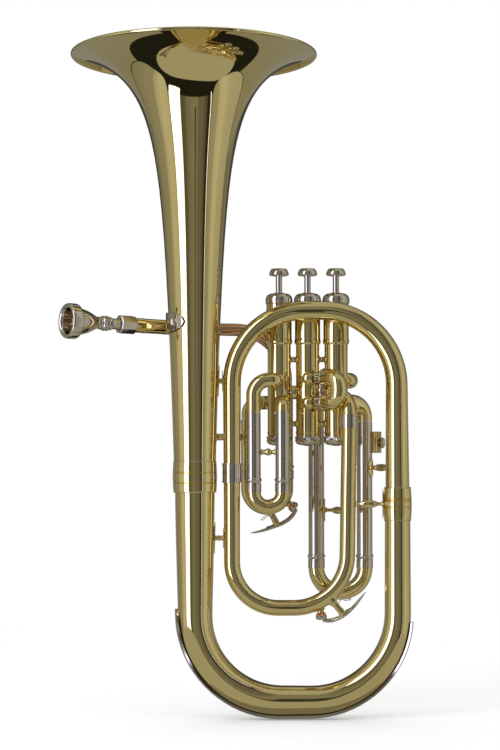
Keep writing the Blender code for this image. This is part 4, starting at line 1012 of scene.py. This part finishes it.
pipe_line = bent([on_pipe(40.7), on_pipe(-13), at(75.6, MAIN_Y, PIPE_Z - 1.5), at(75.6, MAIN_Y, 276.8)], [30, 42])
pipe_sizes = [(0, 5.1), (46, 5.1), (length(pipe_line), 5.6)]
piece("leadpipe_tube", drawn(pipe_line, pipe_sizes, 40), "rose_brass", "horn_body", "leadpipe")
outline = [
    (5.0, 46.0), (5.6, 46.0), (6.0, 45.5), (6.1, 44.8), (6.1, 34.2), (5.9, 34.0), (5.9, 33.6), (6.1, 33.4),
    (6.1, 9.0), (6.3, 8.7), (6.3, 7.9), (6.1, 7.6), (6.1, 0.2), (5.9, 0), (5.0, 0),
]
piece("leadpipe_sleeve", turned(outline, on_pipe(40.7), pipe_way, steps=48), "yellow_brass", "horn_body",
      "leadpipe", sharp=42)

# The plate is shaped to the bell's curve: a broad leaf that lies round the bell, with a thick raised edge.
leaf_way = Vector((-1.0, -0.12, 0)).normalized()
plate_middle = at(0, 0, 326.2)
plate = leaf(plate_middle, Vector((0, 0, 1)), leaf_way, bell_radius(326.2) + 1.35, 16.6, 49.6, 1.0, lying=True)
piece("leadpipe_plate", plate, "nickel_silver", "horn_body", "leadpipe_saddle", sharp=50)

# Receiver: the eight-sided nickel silver socket that takes the mouthpiece's shank.
# It is milled from bar, with a turned shoulder at each end, and soldered to the pipe's sleeve.
outline = [(7.0, 14.2), (7.8, 13.5), (7.8, 0.7), (7.0, 0), (5.2, 0), (5.2, 14.2)]
receiver = turned(outline, on_pipe(41), -pipe_way, steps=8)
bmesh.ops.bevel(
    receiver, geom=receiver.edges[:], offset=0.18 * MM, segments=2, affect="EDGES", profile=0.5, material=-1
)
piece("mouthpiece_socket", receiver, "nickel_silver", "horn_body", "receiver", sharp=30)

# Mouthpiece: silver-plated brass, turned in one piece, with a broad rim, a cup, a beaded throat and a shank.
# Its tapered shank is pushed into the receiver and twisted tight.
mouth_outline = [
    (11.0, 64.1), (11.6, 64.7), (12.2, 65.0), (12.9, 65.0), (13.6, 64.7), (14.1, 64.1), (14.4, 63.2), (14.45, 62.0),
    (14.45, 57.8), (14.3, 56.6), (13.8, 55.6), (13.0, 54.9), (12.0, 54.5), (11.1, 54.2), (10.85, 53.2), (10.45, 50.6),
    (9.75, 47.9), (8.75, 45.0), (7.4, 42.0), (6.0, 39.3), (5.0, 37.2), (4.65, 36.1), (4.8, 35.5), (5.2, 34.9),
    (5.2, 33.6), (4.8, 33.0), (4.7, 32.6), (5.4, 32.1), (6.1, 31.4), (6.25, 30.5), (6.0, 29.7), (5.8, 29.2),
    (6.0, 28.6), (6.2, 27.8), (6.05, 27.0), (5.4, 26.4), (4.7, 26.0), (4.6, 25.6), (5.0, 25.2), (5.4, 24.6),
    (5.4, 24.0), (5.0, 23.4), (4.6, 23.1), (4.5, 22.5), (4.55, 19.5), (4.75, 14.0), (4.4, 2.5), (3.4, 2.5),
    (2.0, 38.0), (2.6, 40.5), (4.2, 43.5), (6.4, 47.0), (8.2, 51.0), (9.3, 55.0), (9.8, 59.0), (10.1, 62.0),
    (10.5, 63.4),
]
mouth = turned(mouth_outline, on_pipe(39), -pipe_way, steps=80)
piece("mouthpiece_body_turned", mouth, "nickel_silver", "mouthpiece_body", "mouthpiece", sharp=40)

# Lyre holder: a square brass socket soldered to the third slide's right sleeve.
# Its knurled nickel silver screw clamps the shank of a music lyre.
LYRE_LOW = 219.5
LYRE_HIGH = 237.5
LYRE_TURN = -35.0
lyre_middle = at(151.2, 39.4, (LYRE_LOW + LYRE_HIGH) / 2)
shape = bmesh.new()
bmesh.ops.create_cube(shape, size=1)
bmesh.ops.scale(shape, vec=Vector((8.2, 7.6, LYRE_HIGH - LYRE_LOW)) * MM, verts=shape.verts)
bmesh.ops.bevel(
    shape, geom=shape.edges[:], offset=0.5 * MM, segments=3, affect="EDGES", profile=0.5, material=-1
)
ends = [face for face in shape.faces if abs(face.normal.z) > 0.99]
bmesh.ops.inset_individual(shape, faces=ends, thickness=1.3 * MM, use_even_offset=True)
openings = [edge for face in ends for edge in face.edges]
bmesh.ops.delete(shape, geom=ends, context="FACES_ONLY")
bmesh.ops.bridge_loops(shape, edges=openings)
bmesh.ops.recalc_face_normals(shape, faces=shape.faces)
bmesh.ops.rotate(shape, verts=shape.verts, cent=(0, 0, 0), matrix=Matrix.Rotation(radians(LYRE_TURN), 3, "Z"))
bmesh.ops.translate(shape, vec=lyre_middle, verts=shape.verts)
piece("lyre_socket_box", shape, "yellow_brass", "horn_body", "lyre_holder", sharp=30)
screw_foot = at(155.7, THIRD_Y, 228)
outline = [
    (0, 3.9), (1.4, 3.85), (2.8, 3.6), (3.9, 3.0), (4.5, 2.3), (4.75, 1.5), (4.75, 0.6), (4.4, 0.1), (3.6, -0.1),
    (2.2, -0.2), (1.5, -0.2), (1.5, -2.5), (0, -2.5),
]
screw = turned(outline, screw_foot, Vector((1, 0, 0)), steps=48)
screw = knurled(screw, screw_foot, Vector((1, 0, 0)), 0.3, 2.4, 48, 0.4)
piece("lyre_thumb_screw", screw, "nickel_silver", "thumb_screw", "lyre_screw", sharp=40)

# Water keys: a nipple on the tube's low point, closed by a cork in the cup of a sprung lever.
# The lever turns on a pin between two ears, and a coil of steel wire presses it shut.
cork_material = bpy.data.materials.new("cork")
cork_material.use_nodes = True
nodes = cork_material.node_tree.nodes
links = cork_material.node_tree.links
place = nodes.new("ShaderNodeTexCoord")
grains = nodes.new("ShaderNodeTexVoronoi")
grains.inputs["Scale"].default_value = 900.0
links.new(place.outputs["Object"], grains.inputs["Vector"])
mottle = nodes.new("ShaderNodeTexNoise")
mottle.inputs["Scale"].default_value = 600.0
mottle.inputs["Detail"].default_value = 4.0
links.new(place.outputs["Object"], mottle.inputs["Vector"])
ramp = nodes.new("ShaderNodeValToRGB")
ramp.color_ramp.elements[0].position = 0.35
ramp.color_ramp.elements[0].color = (0.20, 0.07, 0.025, 1)
ramp.color_ramp.elements[1].position = 0.65
ramp.color_ramp.elements[1].color = (0.52, 0.22, 0.08, 1)
links.new(mottle.outputs["Fac"], ramp.inputs["Fac"])
links.new(ramp.outputs["Color"], nodes["Principled BSDF"].inputs["Base Color"])
nodes["Principled BSDF"].inputs["Roughness"].default_value = 0.8
bump = nodes.new("ShaderNodeBump")
bump.inputs["Strength"].default_value = 0.5
bump.inputs["Distance"].default_value = 0.0002
links.new(grains.outputs["Distance"], bump.inputs["Height"])
links.new(bump.outputs["Normal"], nodes["Principled BSDF"].inputs["Normal"])
FINISH["cork"] = cork_material


def helix(middle, axis, radius, pitch, turns, start):
    """A coil of wire's middle line, as (point, way) pairs."""
    side = axis.orthogonal().normalized()
    other = axis.cross(side)
    line = []
    steps = int(turns * 16)
    for i in range(steps + 1):
        turn = start + 2 * pi * i / 16
        out = side * cos(turn) + other * sin(turn)
        along = axis.cross(out) * radius + axis * pitch / (2 * pi)
        rise = axis * pitch * (turn - start) / (2 * pi)
        line.append((middle + (out * radius + rise) * MM, along.normalized()))
    return line


def water_key(prefix, tube_body, lever_body, nipple, out, pivot, lever, tube_middle, hook, wire):
    """One key; lever is the line of its blade from the cup to the tip, in a plane of constant Y."""
    out = out.normalized()
    side = Vector((0, 1, 0))
    outline = [
        (0, 2.2), (1.6, 2.2), (2.5, 2.2), (3.0, 1.9), (3.1, 1.4), (2.8, 0.6), (3.1, -0.1), (3.9, -0.8), (3.6, -1.5),
        (0, -1.5),
    ]
    piece(f"{prefix}_nipple", turned(outline, nipple, out, steps=40), "yellow_brass", tube_body, sharp=60)
    outline = [(0, 5.5), (3.9, 5.5), (4.15, 5.2), (4.2, 2.8), (3.9, 2.4), (0, 2.3)]
    piece(f"{prefix}_cork_pad", turned(outline, nipple, out, steps=40), "cork", lever_body, f"{prefix}_key_cork")

    # The two ears are filed from plate: broad at the tube, waisted, and round at the pin
    up = (tube_middle - pivot).normalized()
    reach = (tube_middle - pivot).length / MM
    pin = [(0, 9.6), (0.9, 9.6), (1.15, 9.3), (1.15, 0.3), (0.9, 0), (0, 0)]
    saddle = [turned(pin, pivot - side * 4.8 * MM, side, 24)]
    profile = [(0, reach), (4.2, reach), (4.2, reach - 5.5), (3.6, reach - 6.8), (2.9, reach - 8.2), (2.6, reach - 9.5)]
    profile += [(2.6, 3.4), (2.8, 2.2), (2.9, 1.0), (2.8, 0), (2.4, -1.1), (1.8, -1.9), (0.9, -2.4), (0, -2.5)]
    for sign in (-1, 1):
        middle = pivot + side * sign * 3.5 * MM
        ear = turned(profile, middle, up, steps=32)
        bmesh.ops.scale(ear, vec=(1, 0.52, 1), verts=ear.verts, space=Matrix.Translation(-middle))
        saddle.append(ear)
    piece(f"{prefix}_ears", joined(*saddle), "yellow_brass", tube_body, f"{prefix}_key_saddle", sharp=60)

    # The lever is a forged blade: a round arm at the cup, deep at the barrel, and a broad leaf that ends in a point
    line = bent(lever, [14.0] * (len(lever) - 2), radians(4))
    total = length(line)
    sizes = [(0, 1.7), (total * 0.18, 1.8), (total * 0.36, 1.75), (total * 0.55, 1.5), (total * 0.75, 1.2)]
    arm = drawn(line, sizes + [(total - 5, 0.85), (total, 0.3)], 28)
    for vert in arm.verts:
        nearest = min(range(len(line)), key=lambda i: (line[i][0] - vert.co).length)
        share = nearest / (len(line) - 1)
        grown = max(0.0, min(1.0, (share - 0.38) / 0.62))
        broad = 1.0 + 2.3 * sin(pi * grown ** 0.75) ** 0.9 if grown > 0 else 1.0
        vert.co.y = pivot.y + (vert.co.y - pivot.y) * broad
    outline = [
        (0, 7.7), (2.6, 7.7), (3.7, 7.3), (4.4, 6.7), (4.6, 5.9), (4.6, 4.6), (4.3, 4.5), (4.25, 5.55), (0, 5.55),
    ]
    cup = turned(outline, nipple, out, steps=48)
    knuckles = [
        turned([(1.3, 0.7), (2.3, 0.7), (2.4, 0.55), (2.4, 0.15), (2.3, 0), (1.3, 0)], pivot + side * off * MM, side, 32)
        for off in (-1.65, 0.95)
    ]
    spur_line = bent(hook, [2.5] * (len(hook) - 2), radians(15))
    spur = drawn(spur_line, [(0, 1.1), (length(spur_line), 0.5)], 16)
    blade = joined(arm, cup, spur, *knuckles)
    piece(f"{prefix}_lever_blade", blade, "nickel_silver", lever_body, f"{prefix}_key_lever", sharp=60)

    # The spring: three coils round the pin, and a long end that is bent back in a narrow loop
    coil = drawn(helix(pivot - side * 0.8 * MM, side, 1.75, 0.62, 2.6, 0.0), [(0, 0.27)], 10)
    reach = drawn(bent(wire, [0.7] * (len(wire) - 2), radians(20)), [(0, 0.3)], 10)
    piece(f"{prefix}_spring", joined(coil, reach), "spring_steel", tube_body, sharp=60)


main_way = Vector((cos(radians(-35)), 0, sin(radians(-35))))
main_middle = at(59.9, MAIN_Y, 189.6)
water_key(
    "main", "main_slide", "main_key", main_middle + main_way * 22.0 * MM, main_way, at(67.6, MAIN_Y, 160.6),
    [at(84.4, MAIN_Y, 172.6), at(81.8, MAIN_Y, 167.4), at(77.6, MAIN_Y, 163.2), at(72.2, MAIN_Y, 160.0),
     at(65.8, MAIN_Y, 157.4), at(58.4, MAIN_Y, 154.8), at(51.8, MAIN_Y, 153.0), at(45.6, MAIN_Y, 152.0)],
    main_middle + Vector((0, 0, -14.5 * MM)), [at(65.5, MAIN_Y, 158.6), at(62.5, MAIN_Y, 157.6), at(59.0, MAIN_Y, 156.9)],
    [at(66.0, MAIN_Y, 161.4), at(62.4, MAIN_Y, 166.2), at(58.2, MAIN_Y, 166.9), at(54.6, MAIN_Y, 163.6),
     at(55.6, MAIN_Y, 162.6), at(59.6, MAIN_Y, 166.0)],
)
water_key(
    "inner", "horn_body", "inner_key", at(103.2, 0, 89.4), Vector((0.14, 0, -0.99)), at(121.0, 0, 87.6),
    [at(105.2, 0, 81.8), at(109.0, 0, 80.7), at(113.0, 0, 81.2), at(118.8, 0, 83.2), at(125.4, 0, 87.2),
     at(131.4, 0, 93.0), at(136.8, 0, 99.8), at(140.5, 0, 104.6)],
    at(109.7, 0, 101.0), [at(122.0, 0, 85.6), at(124.6, 0, 89.2), at(127.6, 0, 91.0)],
    [at(119.6, 0, 88.8), at(118.2, 0, 95.4), at(120.6, 0, 98.6), at(128.6, 0, 99.0), at(128.4, 0, 98.0),
     at(122.4, 0, 97.4)],
)

# The inner parts of the valves stay as the CAD has them: pistons, felts and springs, each in its own finish.
# Felt is a grey wool washer, and the pistons are plated and lapped to the casings.
felt_material = bpy.data.materials.new("felt")
felt_material.use_nodes = True
nodes = felt_material.node_tree.nodes
links = felt_material.node_tree.links
place = nodes.new("ShaderNodeTexCoord")
fibre = nodes.new("ShaderNodeTexNoise")
fibre.inputs["Scale"].default_value = 2200.0
fibre.inputs["Detail"].default_value = 5.0
fibre.inputs["Distortion"].default_value = 1.5
links.new(place.outputs["Object"], fibre.inputs["Vector"])
ramp = nodes.new("ShaderNodeValToRGB")
ramp.color_ramp.elements[0].color = (0.45, 0.43, 0.38, 1)
ramp.color_ramp.elements[1].color = (0.72, 0.70, 0.64, 1)
links.new(fibre.outputs["Fac"], ramp.inputs["Fac"])
links.new(ramp.outputs["Color"], nodes["Principled BSDF"].inputs["Base Color"])
nodes["Principled BSDF"].inputs["Roughness"].default_value = 0.95
bump = nodes.new("ShaderNodeBump")
bump.inputs["Strength"].default_value = 0.6
bump.inputs["Distance"].default_value = 0.0002
links.new(fibre.outputs["Fac"], bump.inputs["Height"])
links.new(bump.outputs["Normal"], nodes["Principled BSDF"].inputs["Normal"])
FINISH["felt"] = felt_material
slot_of = {part["node"]: part["material_slot"] for part in frame["record"]["subparts"]}
for name, node in frame["nodes"].items():
    node.data.materials.clear()
    node.data.materials.append(FINISH[slot_of[name]])
